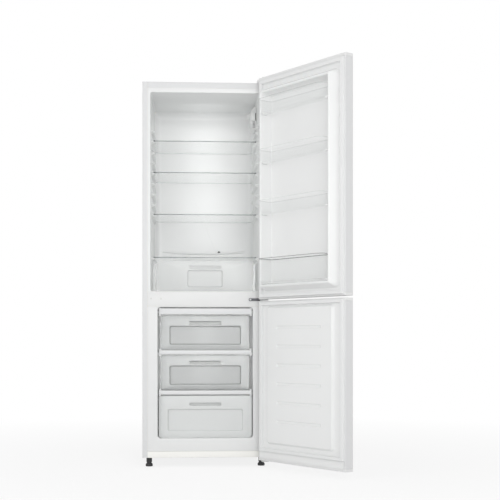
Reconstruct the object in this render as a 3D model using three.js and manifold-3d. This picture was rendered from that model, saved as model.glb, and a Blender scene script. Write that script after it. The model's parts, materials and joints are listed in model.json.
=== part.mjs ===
// A bottom freezer refrigerator, 55 cm class, standing with both doors open.
// Millimetres, +Z up. The cabinet's front frame is the plane y = 0, its depth runs along +y,
// x = 0 is its middle, and the feet stand on z = 0. At the end the whole group is moved so that
// its origin is the middle of the footprint on the floor, doors included.
import * as THREE from "three";
import { mergeVertices } from "three/addons/utils/BufferGeometryUtils.js";
import Module from "manifold-3d";

const wasm = await Module();
wasm.setup();

// ---------------------------------------------------------------- driving sizes

// Cabinet shell
const CASE_WIDTH = 550;
const CASE_DEPTH = 478;
const CASE_BOTTOM = 39; // underside of the cabinet above the floor
const CASE_TOP = 1680;
const STEEL = 0.8; // painted sheet
const PLASTIC = 1.2; // thermoformed liners and door linings
const FIT = 0.3; // gap left where one piece is pushed, foamed or screwed to another
const SIDE_FLANGE = 22; // width of the side panels' turned-in front edge
const TOP_FLANGE = 26; // height of the top panel's turned-down front edge
const REAR_RETURN = 14; // width of the side panels' turned-in rear edge
const BEND = 3; // outside radius of folded sheet
const KICK_HEIGHT = 28; // plinth strip under the freezer
const KICK_DEPTH = 12;
const KICK_WALL = 2;
const PAN_THICKNESS = 1;
const DECK_CORNER = 1; // front corners of the top panel's deck
const HINGE_SEAT_RISE = 0.6; // raised pad in the top panel under the hinge
const HINGE_SEAT_MARGIN = 2;
const PLUG_RADIUS = 3; // plugged holes in the crossbar cover, for hanging the door on the left
const PLUG_MARGINS = [15, 58]; // from the cover's left end
const PLUG_RISE = 7; // above the middle of the gap between the doors

// Compartments
const FRIDGE_WALL = 35; // insulation beside the fresh food compartment
const FREEZER_WALL = 66; // insulation beside the freezer
const REAR_WALL = 42;
const FREEZER_REAR_WALL = 63;
const ROOF_WALL = 46;
const FREEZER_HEIGHT = 574; // clear height at the front
const CROSSBAR_HEIGHT = 70; // wall between the two openings
const CROSSBAR_LIP = 4; // how far the liners' edges show past the crossbar cover
const FREEZER_BASE_WALL = 84; // from the cabinet's underside to the freezer's floor
const LINER_DRAFT = 0.015; // slope of the moulded walls towards the rear
const FRIDGE_REAR_RADIUS = 30;
const FRIDGE_FRONT_RADIUS = 8;
const FREEZER_REAR_RADIUS = 24;
const FREEZER_FRONT_RADIUS = 14;

// Machine compartment at the rear, under the freezer's step
const MACHINE_DEPTH = 165;
const MACHINE_HEIGHT = 217;
const STEP_WALL = 45;

// Shelves in the fresh food compartment
const SHELF_LOWEST = 349; // top face of the lowest glass shelf above the compartment's floor
const SHELF_TOP_GAP = 21.6; // highest shelf level below the lamp housing
const SHELF_LEVELS = 9;
const USED_SHELF_LEVELS = [7, 4, 0]; // counted from the lowest
const SHELF_FRONT = 110; // distance of the shelves' front edge behind the frame
const SHELF_REAR_GAP = 6;
const SHELF_SIDE_GAP = 9; // between the glass and the wall at the front
const GLASS = 4;
const GLASS_CORNER = 3; // front corners
const LEDGE_REACH = 4; // how far a ledge reaches under the glass
const LEDGE_HEIGHT = 14;
const LEDGE_FRONT = 95;
const CRISPER_COVER_RISE = 157; // its top above the compartment's floor
const GUTTER_RISE = 54; // ends of the drip gutter above the crisper's cover
const GUTTER_REACH = 12;
const GUTTER_HEIGHT = 9;
const GUTTER_SAG = 10;
const GUTTER_END_GAP = 45; // from the compartment's sides
const GUTTER_STEPS = 8;
const DRAIN_X = 72;
const DRAIN_DROP = 7; // below the gutter's ends
const DRAIN_RADIUS = 6;

// Crisper
const CRISPER_SIDE_GAP = 26;
const CRISPER_FRONT = 106;
const CRISPER_HEIGHT = 140;
const CRISPER_REAR_GAP = 25;

// Freezer: three evaporator levels with a drawer under each
const EVAPORATOR_DROP = 4; // top of the highest level's white strip below the ceiling
const EVAPORATOR_RISE = 31; // top of the lowest one above the machine compartment's step
const EVAPORATOR_MIDDLE_SHARE = 0.49; // where the middle one is between them
const STRIP_HEIGHTS = [28, 19, 19];
const STRIP_FRONT = 18;
const STRIP_DEPTH = 13;
const STRIP_WALL = 2;
const STRIP_SIDE_GAP = 13;
const STRIP_SEAT_GAP = 4; // between the strip and the ledge behind it
const STRIP_CLIP_REACH = 7; // how far the clips at its ends stand out
const STRIP_CLIP_DROP = 2; // and how far they hang under it
const COIL_RADIUS = 4;
const COIL_PITCH = 46;
const COIL_SIDE_GAP = 7;
const COIL_RUN_COUNTS = [8, 8, 5];
const COIL_BARS = 3;
const COIL_BAR_WIDTH = 8;
const COIL_BAR_SPREAD = 0.8; // of the runs' straight length
const COIL_BAR_RISE = 0.4; // the bars carry a drawer clear of the strip by this
const DRAWER_WALL = 2.4;
const DRAWER_FRONT_UPPER = 44;
const DRAWER_FRONT_LOWER = 26;
const DRAWER_SIDE_GAP = 15;
const LOWER_DRAWER_SIDE_GAP = 5;
const LOWER_DRAWER_REAR_GAP = 18;
const DRAWER_HEADROOM = 4;
const DRAWER_REAR_GAP = 30;
const DISH_DEPTH = 9; // how far the middle of a drawer's front is set back
const DISH_CORNER = 8;
const TUB_NEAR_RADIUS = 4;
const TUB_FAR_RADIUS = 26;
const SLOT_WIDTH = 140; // grip slots
const SLOT_HEIGHT = 13;
const GRIP_LIP_RADIUS = 2.8; // rounded lip over a slot
const GRIP_LIP_OVERLAP = 4; // past each end of the slot

// How each drawer is drawn, below or above the edges of its front: margins of the dished middle,
// drop of the grip slot and of the tub's rim, lean of the tub's walls, corners of the front
const CRISPER_FORM = { side: 136, below: 22, above: 42, slot: 23, rim: 4, lean: 8, corner: 6 };
const UPPER_FORM = { side: 37, below: 24, above: 46, slot: 28, rim: 12, lean: 6, corner: 6 };
const LOWER_FORM = { side: 39, below: 30, above: 60, slot: 32, rim: 20, lean: 11, corner: 14 };

// Doors. Their outlines are drawn closed, then both are swung open about the hinge line.
const DOOR_OPEN = 124.6; // degrees
const DOOR_THICKNESS = 45;
const GASKET_GAP = 12; // between the cabinet frame and a closed door
const PIN_INSET = 16.4; // hinge line from the cabinet's side
const PIN_BACKSET = 23.4; // hinge line from the door's inner face
const DOOR_SPLIT_RISE = 29; // middle of the gap between the doors above the freezer's ceiling
const DOOR_SPLIT_GAP = 8;
const DOOR_RISE = 11.5; // the upper door's top above the cabinet's
const DOOR_DROP = 8.6; // the lower door's bottom below the cabinet's underside
const DOOR_LIP = 10;
const DOOR_BEND = 6;
const CAP_HEIGHT = 12; // plastic end caps
const PIN_RADIUS = 4.5;
const PIN_REACH = 10;
const PIN_CLEARANCE = 0.5;
const GASKET_WIDTH = 17;
const GASKET_EDGE = 4; // from the door's edge on the free side
const GASKET_HINGE_EDGE = 17.5; // from the door's edge on the hinge side
const GASKET_FOOT = 5; // height of the seal's wide foot
const GASKET_STEP = 2.5; // how much narrower its face is on either side
const UPPER_GASKET_TOP = 17.5; // from the door's top edge
const UPPER_GASKET_BOTTOM = 5.5;
const LOWER_GASKET_TOP = 4;
const LOWER_GASKET_BOTTOM = 42;

// Upper door lining: a raised frame (dyke) round a recess that holds the bins
const DYKE_HEIGHT = 38.6; // from the door's inner face
const DYKE_CLEARANCE = 3; // the dyke's foot stays inside the compartment's opening by this
const DYKE_FREE_SHIFT = 4; // and stands this much further out at the free edge
const ROOT = 6; // how far a raised form is drawn on into the door, to join it
const DYKE_CORNER = 16;
const RIDGE_CORNER = 12;
const RECESS_CORNER = 5;
const DYKE_SLOPE = 18; // how much the outer flank leans in
const DYKE_RIDGE = 9; // width of its flat top
const RECESS_DEPTH = 15.4; // recess floor behind the door's inner face
const RECESS_DRAFT = 7;
const DYKE_TOP_MARGIN = 55; // from the door's edges
const DYKE_BOTTOM_MARGIN = 33;

// Door bins
const BIN_WALL = 2;
const BIN_REACH = 87; // from the recess floor to the front of a bin
const BIN_CORNER = 30;
const BIN_GAP = 0.7;
const BIN_LEAN = 0.4;
const TOP_BIN_DROP = 77.5; // its floor below the upper end of the recess
const UPPER_BIN_DROP = 211; // its floor below the top bin's
const LOWER_BIN_DROP = 219; // its floor below the upper bin's
const BOTTLE_BIN_RISE = 3; // its floor above the lower end of the recess
const TOP_BIN_HEIGHT = 54;
const UPPER_BIN_HEIGHT = 50;
const LOWER_BIN_HEIGHT = 52;
const BOTTLE_BIN_HEIGHT = 100;
const LUG_REACH = 9;
const LUG_HEIGHT = 7;
const LUG_LENGTH = 30;
const LUG_SETBACK = 26.1; // from the recess's floor

// Lower door lining: a raised pad with pressed grooves
const PAD_HEIGHT = 10;
const PAD_MARGIN = 62; // from the door's side edges
const PAD_SLOPE = 9;
const PAD_CORNER = 14;
const PAD_FACE_CORNER = 10;
const PAD_TOP_MARGIN = 24;
const PAD_BOTTOM_MARGIN = 76;
const GROOVE_COUNT = 6;
const GROOVE_LOWEST = 100.6; // above the pad's lower edge
const GROOVE_HIGHEST = 91; // below the pad's upper edge
const GROOVE_SIDE_GAP = 74; // from the pad's sides
const GROOVE_HEIGHT = 12;
const GROOVE_DEPTH = 3;

// Hinges
const BRACKET = 3; // thickness of the hinge plates
const BRACKET_WIDTH = 30;
const TOP_BRACKET_LENGTH = 70; // on the cabinet's top
const MIDDLE_PLATE = 4;
const MIDDLE_FLANGE_LENGTH = 79;
const MIDDLE_FLANGE_HEIGHT = 12;
const MIDDLE_PLATE_SHARE = 0.35; // where the plate leaves the flange, of its length
const BOSS_RADIUS = 7; // round screw boss at the flange's free end
const BOSS_REACH = 5;
const WASHER_RADIUS = 8;
const WASHER_HEIGHT = 1.4;
const HINGE_STEP_Y = 8; // where the top bracket steps up over the door
const HINGE_LIFT = 1; // its clearance over the door
const PIN_HEAD = 3;
const COVER_WALL = 2;
const COVER_HEADROOM = 4;
const COVER_CORNER = 5;
const BOTTOM_HINGE_GAP = 3; // between the angle and the lower door
const BOTTOM_HINGE_DROP = 6; // its upper edge below the plinth's

// Feet and rollers
const FOOT_RADIUS = 15.5;
const FOOT_INSET = 29; // foot's axis from the cabinet's side
const FOOT_Y = 29;
const FOOT_PAD_HEIGHT = 11;
const FOOT_NECK_START = 15;
const FOOT_NECK_SHARE = 0.75; // of the pad's radius
const STEM_RADIUS = 5;
const STEM_REACH = 19; // above the cabinet's underside
const STEM_CLEARANCE = 2; // of the foam round the stem
const ROLLER_RADIUS = 18;
const ROLLER_WIDTH = 22;
const ROLLER_INSET = 35;
const ROLLER_SETBACK = 46; // its axle from the cabinet's rear
const AXLE_RADIUS = 4;
const AXLE_REACH = 5; // past either side of the wheel
const RAIL_PLATE = 2;
const RAIL_EDGE = 14; // height of its folded edges
const RAIL_FRONT_GAP = 8;
const RAIL_REAR_GAP = 6;
const EAR_THICKNESS = 2;
const EAR_GAP = 1; // between an ear and the wheel
const EAR_HALF_LENGTH = 12;
const EAR_DROP = 9; // below the axle

// Machine compartment
const COMPRESSOR_X = -40;
const COMPRESSOR_LENGTH = 200;
const COMPRESSOR_WIDTH = 140;
const COMPRESSOR_HEIGHT = 150;
const COMPRESSOR_LIFT = 16; // can's lowest point above the rail
const CAN_SEAM = 0.52; // height of the welded seam, of the can's
const PLATE_INSET_X = 12; // of the foot plate inside the can's length and width
const PLATE_INSET_Y = 8;
const PLATE_CORNER = 14;
const PLATE_DROP = 4;
const PLATE_RISE = 12;
const SOFT_MOUNT_RADIUS = 11;
const SOFT_MOUNT_INSET = 14;
const STUB_RADIUS = 5;
const STUB_REACH = 8; // past the can's end
const STUB_SHARE = 0.39; // of the can's height
const RELAY_DEPTH = 34;
const RELAY_SIZE = 62;
const RELAY_RISE = 40; // above the can's bottom
const RELAY_CORNER = 8;
const INLET_RISE = 18; // above the relay box's bottom
const INLET_COLLAR_RADIUS = 10;
const INLET_COLLAR_LENGTH = 5;
const INLET_RADIUS = 7;
const INLET_LENGTH = 18;
const INLET_BORE = 4;
const TRAY_HEIGHT = 26;
const TRAY_INSET = 6;
const TRAY_LEAN = 6;
const TRAY_WALL = 2;
const TRAY_CORNER = 16;
const SUCTION_RADIUS = 4;
const SUCTION_BEND = 24;
const TUBE_RADIUS = 3;

// Condenser on the back
const CONDENSER_MARGIN = 60; // from the cabinet's sides
const CONDENSER_RISE = 74; // its first run above the machine compartment
const CONDENSER_DROP = 90; // its last run below the cabinet's top
const CONDENSER_RUNS = 13;
const CONDENSER_STANDOFF = 13; // tube's middle behind the back panel
const STRAP_COUNT = 4;
const STRAP_WIDTH = 8;
const STRAP_SPREAD = 0.92; // of the runs' straight length
const STRAP_THICKNESS = 1.5;
const STRAP_OVERHANG = 12; // past the first and last run
const BEAD_DEPTH = 1.6; // pressed beads in the back panel
const BEAD_HALF_WIDTH = 9;

// Lamp and thermostat housing on the right wall
const HOUSING_FRONT = 200;
const HOUSING_LENGTH = 105;
const HOUSING_REACH = 27;
const HOUSING_DROP = 12; // its top below the ceiling
const HOUSING_HEIGHT = 110;
const HOUSING_BEND = 4.5; // rounding of its profile
const VENT_COUNT = 3;
const VENT_PITCH = 8;
const VENT_WIDTH = 3;
const VENT_DEPTH = 2;
const KNOB_RADIUS = 16;
const KNOB_REACH = 11;
const KNOB_SHARE = 0.65; // its axis, of the housing's height
const GRIP_HALF_WIDTH = 3;
const LENS_REACH = 4;
const LENS_TAPER = 2;
const LENS_INSET = 4;
const LENS_SHARES = [0.4, 0.72]; // its ends, of the housing's height
const SWITCH_DROP = 138; // its middle below the ceiling
const SWITCH_SIZE = 8;
const SWITCH_TIP = 11.5; // the button's ends behind the frame
const SWITCH_END = 36;
const SWITCH_TRAVEL = 8; // room behind the button
const SWITCH_INSET = 11; // its inner side from the compartment's wall
const SWITCH_BOSS_INSET = 14;
const SWITCH_BOSS = [22, 50];
const SWITCH_BOSS_MARGIN = 6;

// Facets
const CORNER_STEPS = 3;
const REAR_STEPS = 3;
const ROUND_SIDES = 16;
const COIL_BEND_STEPS = 2;
const SMALL_SIDES = 10;
const WHEEL_SIDES = 20;

// ---------------------------------------------------------------- worked-out places

const halfCase = CASE_WIDTH / 2;
const freezerFloor = CASE_BOTTOM + FREEZER_BASE_WALL;
const freezerRoof = freezerFloor + FREEZER_HEIGHT;
const fridgeFloor = freezerRoof + CROSSBAR_HEIGHT;
const fridgeRoof = CASE_TOP - ROOF_WALL;
const fridgeHalf = halfCase - FRIDGE_WALL;
const fridgeDepth = CASE_DEPTH - REAR_WALL;
const freezerHalf = halfCase - FREEZER_WALL;
const freezerDepth = CASE_DEPTH - FREEZER_REAR_WALL;
const machineFront = CASE_DEPTH - MACHINE_DEPTH;
const machineTop = CASE_BOTTOM + MACHINE_HEIGHT;
const stepDepth = machineFront - STEP_WALL;
const stepTop = machineTop + STEP_WALL;
const frameHalf = halfCase - SIDE_FLANGE - FIT; // between the side panels' front edges
const kickTop = CASE_BOTTOM + KICK_HEIGHT;
const doorInner = -GASKET_GAP;
const doorOuter = doorInner - DOOR_THICKNESS;
const pinX = halfCase - PIN_INSET;
const pinY = doorInner - PIN_BACKSET;
const backFace = CASE_DEPTH - STEEL - FIT; // rear face of the back panel's beads
const condenserBottom = machineTop + CONDENSER_RISE;
const condenserTop = CASE_TOP - CONDENSER_DROP;
const condenserPitch = (condenserTop - condenserBottom) / (CONDENSER_RUNS - 1);
const condenserStraight = halfCase - CONDENSER_MARGIN - condenserPitch / 2;
const strapPlaces = Array.from(
  { length: STRAP_COUNT },
  (_, i) => STRAP_SPREAD * condenserStraight * ((2 * i) / (STRAP_COUNT - 1) - 1),
);
const doorSplit = freezerRoof + DOOR_SPLIT_RISE;
const upperDoorBottom = doorSplit + DOOR_SPLIT_GAP / 2;
const lowerDoorTop = doorSplit - DOOR_SPLIT_GAP / 2;
const doorTop = CASE_TOP + DOOR_RISE;
const doorBottom = CASE_BOTTOM - DOOR_DROP;
const crisperCoverTop = fridgeFloor + CRISPER_COVER_RISE;
const gutterZ = crisperCoverTop + GUTTER_RISE;
const hingeX = [pinX - BRACKET_WIDTH / 2, Math.min(pinX + BRACKET_WIDTH / 2, halfCase)];
const hingeSeat = CASE_TOP + HINGE_SEAT_RISE;
const coverEnd = TOP_BRACKET_LENGTH + FIT + COVER_WALL;
const switchZ = fridgeRoof - SWITCH_DROP;
const housingZ = (share) => fridgeRoof - HOUSING_DROP - (1 - share) * HOUSING_HEIGHT;
const stemTop = CASE_BOTTOM + STEM_REACH;
const rollerY = CASE_DEPTH - ROLLER_SETBACK;
const footX = halfCase - FOOT_INSET;

// ---------------------------------------------------------------- shapes and solids

/** A closed three.js geometry as a solid that can be joined and cut. */
function solidOf(geometry) {
  const bare = geometry.index ? geometry.toNonIndexed() : geometry.clone();
  bare.deleteAttribute("normal");
  bare.deleteAttribute("uv");
  const merged = mergeVertices(bare, 1e-4);
  const corners = merged.index.array;
  const faces = [];
  for (let i = 0; i < corners.length; i += 3) {
    const [a, b, c] = corners.slice(i, i + 3);
    if (a !== b && b !== c && c !== a) faces.push(a, b, c);
  }
  const vertProperties = merged.attributes.position.array;
  const triVerts = new Uint32Array(faces);
  return new wasm.Manifold(new wasm.Mesh({ numProp: 3, vertProperties, triVerts }));
}

/** A solid's surface as a three.js geometry. */
function geometryOf(solid) {
  const mesh = solid.getMesh();
  const geometry = new THREE.BufferGeometry();
  geometry.setAttribute("position", new THREE.BufferAttribute(mesh.vertProperties, 3));
  geometry.setIndex(new THREE.BufferAttribute(mesh.triVerts, 1));
  return geometry;
}

const join = (first, ...others) => others.reduce((sum, solid) => sum.add(solid), first);
const cut = (first, ...tools) => tools.reduce((rest, tool) => rest.subtract(tool), first);

/** A box from its lowest and highest x, y and z. */
function block([x0, x1], [y0, y1], [z0, z1]) {
  const box = new THREE.BoxGeometry(x1 - x0, y1 - y0, z1 - z0);
  box.translate((x0 + x1) / 2, (y0 + y1) / 2, (z0 + z1) / 2);
  return solidOf(box);
}

const outline = (points) => new THREE.Shape(points.map(([a, b]) => new THREE.Vector2(a, b)));

function extruded(points, depth) {
  return new THREE.ExtrudeGeometry(outline(points), { depth, bevelEnabled: false });
}

/** An outline drawn from above, in x and y, filled between two heights. */
function planSolid(points, [z0, z1]) {
  return solidOf(extruded(points, z1 - z0).translate(0, 0, z0));
}

/** An outline drawn from the front, in x and z, filled between two depths. */
function frontSolid(points, [y0, y1]) {
  return solidOf(extruded(points, y1 - y0).rotateX(Math.PI / 2).translate(0, y1, 0));
}

/** An outline drawn from the side, in y and z, filled between two places across. */
function sideSolid(points, [x0, x1]) {
  const turn = new THREE.Matrix4().makeBasis(
    new THREE.Vector3(0, 1, 0),
    new THREE.Vector3(0, 0, 1),
    new THREE.Vector3(1, 0, 0),
  );
  return solidOf(extruded(points, x1 - x0).applyMatrix4(turn).translate(x0, 0, 0));
}

/** A round bar along "x", "y" or "z", with its middle at the two other coordinates. */
function rod(axis, radius, [from, to], [a, b], sides = ROUND_SIDES) {
  const bar = new THREE.CylinderGeometry(radius, radius, to - from, sides);
  const middle = (from + to) / 2;
  if (axis === "x") return solidOf(bar.rotateZ(Math.PI / 2).translate(middle, a, b));
  if (axis === "y") return solidOf(bar.translate(a, middle, b));
  return solidOf(bar.rotateX(Math.PI / 2).translate(a, b, middle));
}

/** A rectangle with rounded corners, counterclockwise from its low corner. */
function roundedRectangle([a0, a1], [b0, b1], nearRadius, farRadius = nearRadius) {
  const corners = [
    [a0, b0, 1, 1, nearRadius],
    [a1, b0, -1, 1, nearRadius],
    [a1, b1, -1, -1, farRadius],
    [a0, b1, 1, -1, farRadius],
  ];
  return corners.flatMap(([a, b, da, db, radius], corner) =>
    Array.from({ length: CORNER_STEPS + 1 }, (_, step) => {
      const angle = ((corner - 2 + step / CORNER_STEPS) * Math.PI) / 2;
      return [
        a + radius * (da + Math.cos(angle)),
        b + radius * (db + Math.sin(angle)),
      ];
    }),
  );
}

/** A closed skin over rings of equal length, each counterclockwise seen from the last one's side. */
function loft(rings) {
  const count = rings[0].length;
  const last = (rings.length - 1) * count;
  const index = [];
  for (let ring = 0; ring < last; ring += count) {
    for (let i = 0; i < count; i++) {
      const a = ring + i;
      const b = ring + ((i + 1) % count);
      index.push(a, b, b + count, a, b + count, a + count);
    }
  }
  for (let i = 1; i + 1 < count; i++) {
    index.push(0, i + 1, i, last, last + i, last + i + 1);
  }
  const geometry = new THREE.BufferGeometry();
  geometry.setAttribute("position", new THREE.Float32BufferAttribute(rings.flat(2), 3));
  geometry.setIndex(index);
  return solidOf(geometry);
}

/** A loft through rounded rectangles seen from the front, given from the front to the rear. */
function depthLoft(sections) {
  const rings = sections.map(({ y, x, z, radius }) =>
    roundedRectangle(x, z, radius).map(([a, b]) => [a, y, b]),
  );
  return loft(rings.reverse());
}

/** A loft through rounded rectangles seen from above, given from the bottom up. */
function heightLoft(sections) {
  return loft(
    sections.map(({ z, x, y, radius, farRadius }) =>
      roundedRectangle(x, y, radius, farRadius).map(([a, b]) => [a, b, z]),
    ),
  );
}

/** An open path with each inner corner replaced by a curve that starts and ends a radius away. */
function rounded(path, radius) {
  const points = path.map(([a, b]) => new THREE.Vector2(a, b));
  return points.flatMap((corner, i) => {
    if (i === 0 || i === points.length - 1) return [[corner.x, corner.y]];
    const start = points[i - 1].clone().sub(corner).setLength(radius).add(corner);
    const end = points[i + 1].clone().sub(corner).setLength(radius).add(corner);
    const bend = new THREE.QuadraticBezierCurve(start, corner, end);
    return bend.getPoints(CORNER_STEPS).map((point) => [point.x, point.y]);
  });
}

/** An open path shifted to its left, with mitred corners. */
function shifted(path, distance) {
  const points = path.map(([a, b]) => new THREE.Vector2(a, b));
  const leftOf = (from, to) => {
    const along = to.clone().sub(from).normalize();
    return new THREE.Vector2(-along.y, along.x);
  };
  return points.map((point, i) => {
    const before = i > 0 ? leftOf(points[i - 1], point) : leftOf(point, points[i + 1]);
    const after = i + 1 < points.length ? leftOf(point, points[i + 1]) : before;
    const mitre = before.clone().add(after).normalize();
    const shift = mitre.multiplyScalar(distance / mitre.dot(before));
    return [point.x + shift.x, point.y + shift.y];
  });
}

/** The cross-section of a sheet folded along an open path, with its thickness on the left. */
const sheet = (path, thickness) => [...path, ...shifted(path, thickness).reverse()];

const grown = ([low, high], by) => [low - by, high + by];
const around = (middle, by) => [middle - by, middle + by];
const mirrorX = (solid) => solid.mirror([1, 0, 0]);

/** A route through given points, for a tube that follows them one by one. */
class Route extends THREE.Curve {
  constructor(points) {
    super();
    this.points = points.map((point) => new THREE.Vector3(...point));
  }

  getPointAt(share) {
    const place = share * (this.points.length - 1);
    const i = Math.min(Math.floor(place + 1e-6), this.points.length - 2);
    return this.points[i].clone().lerp(this.points[i + 1], place - i);
  }

  getTangentAt(share) {
    const i = Math.round(share * (this.points.length - 1));
    const here = this.points[i];
    const into = here.clone().sub(this.points[Math.max(i - 1, 0)]).normalize();
    const out = this.points[Math.min(i + 1, this.points.length - 1)].clone().sub(here).normalize();
    return into.add(out).normalize();
  }
}

/** A round tube, filled, along a list of points. */
function tube(points, radius, sides = 6) {
  const circle = Array.from({ length: sides }, (_, i) => {
    const angle = ((i + 0.5) / sides) * 2 * Math.PI;
    return [radius * Math.cos(angle), radius * Math.sin(angle)];
  });
  const geometry = new THREE.ExtrudeGeometry(outline(circle), {
    extrudePath: new Route(points),
    steps: points.length - 1,
    bevelEnabled: false,
  });
  return solidOf(geometry);
}

/** Points of a tube that runs to and fro across, climbing by a pitch at each turn. */
function serpentine(half, start, pitch, runs, steps = CORNER_STEPS) {
  const points = [[-half, start]];
  for (let run = 0; run < runs; run++) {
    const side = run % 2 ? -1 : 1;
    const level = start + run * pitch;
    points.push([side * half, level]);
    if (run === runs - 1) break;
    for (let step = 1; step <= steps; step++) {
      const angle = (step / (steps + 1)) * Math.PI;
      const out = half + (pitch / 2) * Math.sin(angle);
      points.push([side * out, level + (pitch / 2) * (1 - Math.cos(angle))]);
    }
    points.push([side * half, level + pitch]);
  }
  return points;
}

// ---------------------------------------------------------------- finishes

function finish(color, roughness, metalness = 0, opacity = 1) {
  const transparent = opacity < 1;
  return new THREE.MeshStandardMaterial({ color, roughness, metalness, opacity, transparent });
}

const whiteSteel = finish(0xf1f2f2, 0.35);
const whitePlastic = finish(0xf3f4f3, 0.4);
const linerPlastic = finish(0xeff1f0, 0.35);
const foamFill = finish(0xe6dcb8, 0.9);
const zincSteel = finish(0xa9adb0, 0.4, 0.8);
const darkSteel = finish(0x4a4c4f, 0.45, 0.7);
const blackPaint = finish(0x18191a, 0.5);
const blackPlastic = finish(0x222325, 0.6);
const glass = finish(0xd7e6e0, 0.05, 0, 0.35);
const clearPlastic = finish(0xe4ebe8, 0.15, 0, 0.5);
const rubber = finish(0xe4e4e4, 0.7);
const copper = finish(0xb87748, 0.35, 0.9);
const aluminium = finish(0xc6c9cb, 0.4, 0.9);

const fridge = new THREE.Group();

function add(name, solid, material, parent = fridge) {
  const mesh = new THREE.Mesh(geometryOf(solid), material);
  mesh.name = name;
  parent.add(mesh);
}

// ---------------------------------------------------------------- cabinet shell

function sidePanel() {
  const path = [
    [-halfCase + REAR_RETURN, CASE_DEPTH],
    [-halfCase, CASE_DEPTH],
    [-halfCase, 0],
    [-halfCase + SIDE_FLANGE, 0],
  ];
  return planSolid(sheet(rounded(path, BEND), STEEL), [CASE_BOTTOM, CASE_TOP]);
}

function topPanel() {
  const between = halfCase - STEEL - FIT;
  const fold = [
    [SIDE_FLANGE, CASE_TOP],
    [0, CASE_TOP],
    [0, CASE_TOP - TOP_FLANGE],
  ];
  const frontEdge = sideSolid(sheet(rounded(fold, BEND), STEEL), [-frameHalf, frameHalf]);
  const rear = CASE_DEPTH - STEEL - FIT;
  const deckStart = BEND + STEEL + FIT;
  const plan = roundedRectangle([-between, between], [deckStart, rear], DECK_CORNER, BEND);
  const deck = planSolid(plan, [CASE_TOP - STEEL, CASE_TOP]);
  const seatPlan = roundedRectangle(
    [hingeX[0] - FIT - COVER_WALL - HINGE_SEAT_MARGIN, between],
    [deckStart, coverEnd + HINGE_SEAT_MARGIN],
    DECK_CORNER,
  );
  const seat = planSolid(seatPlan, [CASE_TOP - STEEL, hingeSeat]);
  return join(frontEdge, deck, seat);
}

/** A flat sheet with pressed beads that stand out to the rear and carry the condenser's straps. */
function backPanel() {
  const half = halfCase - STEEL - FIT;
  const flat = backFace - BEAD_DEPTH;
  const beads = strapPlaces.flatMap((x) => [
    [x - BEAD_HALF_WIDTH - BEAD_DEPTH, flat],
    [x - BEAD_HALF_WIDTH, backFace],
    [x + BEAD_HALF_WIDTH, backFace],
    [x + BEAD_HALF_WIDTH + BEAD_DEPTH, flat],
  ]);
  const path = [[-half, flat], ...beads, [half, flat]];
  const z = [machineTop + STEEL + FIT, CASE_TOP - STEEL - FIT];
  return planSolid(sheet(path, -STEEL), z);
}

function kickPlate() {
  const path = [
    [KICK_DEPTH, kickTop],
    [0, kickTop],
    [0, CASE_BOTTOM],
    [KICK_DEPTH, CASE_BOTTOM],
  ];
  return sideSolid(sheet(rounded(path, BEND), KICK_WALL), [-frameHalf, frameHalf]);
}

/** From the side: front lip, floor, and the machine compartment's front wall and ceiling. */
const panPath = rounded(
  [
    [KICK_DEPTH + FIT, kickTop],
    [KICK_DEPTH + FIT, CASE_BOTTOM],
    [machineFront, CASE_BOTTOM],
    [machineFront, machineTop],
    [CASE_DEPTH - BEND - FIT, machineTop],
  ],
  BEND,
);

function basePan() {
  const half = halfCase - STEEL - FIT;
  const pan = sideSolid(sheet(panPath, PAN_THICKNESS), [-half, half]);
  const hole = (x) => rod("z", STEM_RADIUS + FIT, [CASE_BOTTOM - 1, CASE_BOTTOM + BEND], [x, FOOT_Y]);
  return cut(pan, hole(footX), hole(-footX));
}

function crossbarCover() {
  const z = [freezerRoof + CROSSBAR_LIP, fridgeFloor - CROSSBAR_LIP];
  const holes = PLUG_MARGINS.map((margin) =>
    rod("y", PLUG_RADIUS, [-1, PLASTIC + 1], [margin - frameHalf, doorSplit + PLUG_RISE], SMALL_SIDES),
  );
  return cut(block([-frameHalf, frameHalf], [0, PLASTIC], z), ...holes);
}

// ---------------------------------------------------------------- compartments

const fridgeRoom = {
  half: fridgeHalf,
  floor: fridgeFloor,
  roof: fridgeRoof,
  depth: fridgeDepth,
  rearRadius: FRIDGE_REAR_RADIUS,
  frontRadius: FRIDGE_FRONT_RADIUS,
};
const freezerRoom = {
  half: freezerHalf,
  floor: stepTop,
  roof: freezerRoof,
  depth: freezerDepth,
  rearRadius: FREEZER_REAR_RADIUS,
  frontRadius: FREEZER_FRONT_RADIUS,
};
const freezerFrontRoom = { ...freezerRoom, floor: freezerFloor, depth: stepDepth };

/** Half the width of a compartment at a depth, before its rear corners begin. */
const halfAt = (room, y) => room.half - LINER_DRAFT * y;

/** A compartment's hollow: tapering walls with rounded rear corners, grown all round by a wall. */
function hollow(room, by, start) {
  const radius = room.rearRadius + by;
  const rear = room.depth + by;
  const bends = Array.from({ length: REAR_STEPS + 1 }, (_, i) => (i / REAR_STEPS) * (Math.PI / 2));
  const stops = bends.map((angle) => ({
    y: rear - radius + radius * Math.sin(angle),
    inset: radius * (1 - Math.cos(angle)),
  }));
  return depthLoft(
    [{ y: start, inset: 0 }, ...stops].map(({ y, inset }) => {
      const half = halfAt(room, y) + by - inset;
      const z = [room.floor - by + inset, room.roof + by - inset];
      return { y, x: [-half, half], z, radius: room.frontRadius + by };
    }),
  );
}

const fridgeHollow = (by, start) => hollow(fridgeRoom, by, start);
const freezerHollow = (by, start) =>
  join(hollow(freezerRoom, by, start), hollow(freezerFrontRoom, by, start));

const shelfLowest = fridgeFloor + SHELF_LOWEST;
const shelfPitch = (housingZ(0) - SHELF_TOP_GAP - shelfLowest) / (SHELF_LEVELS - 1);
const shelfTop = (level) => shelfLowest + level * shelfPitch;
const shelfHalf = fridgeHalf - SHELF_SIDE_GAP - LINER_DRAFT * SHELF_FRONT;

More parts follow.
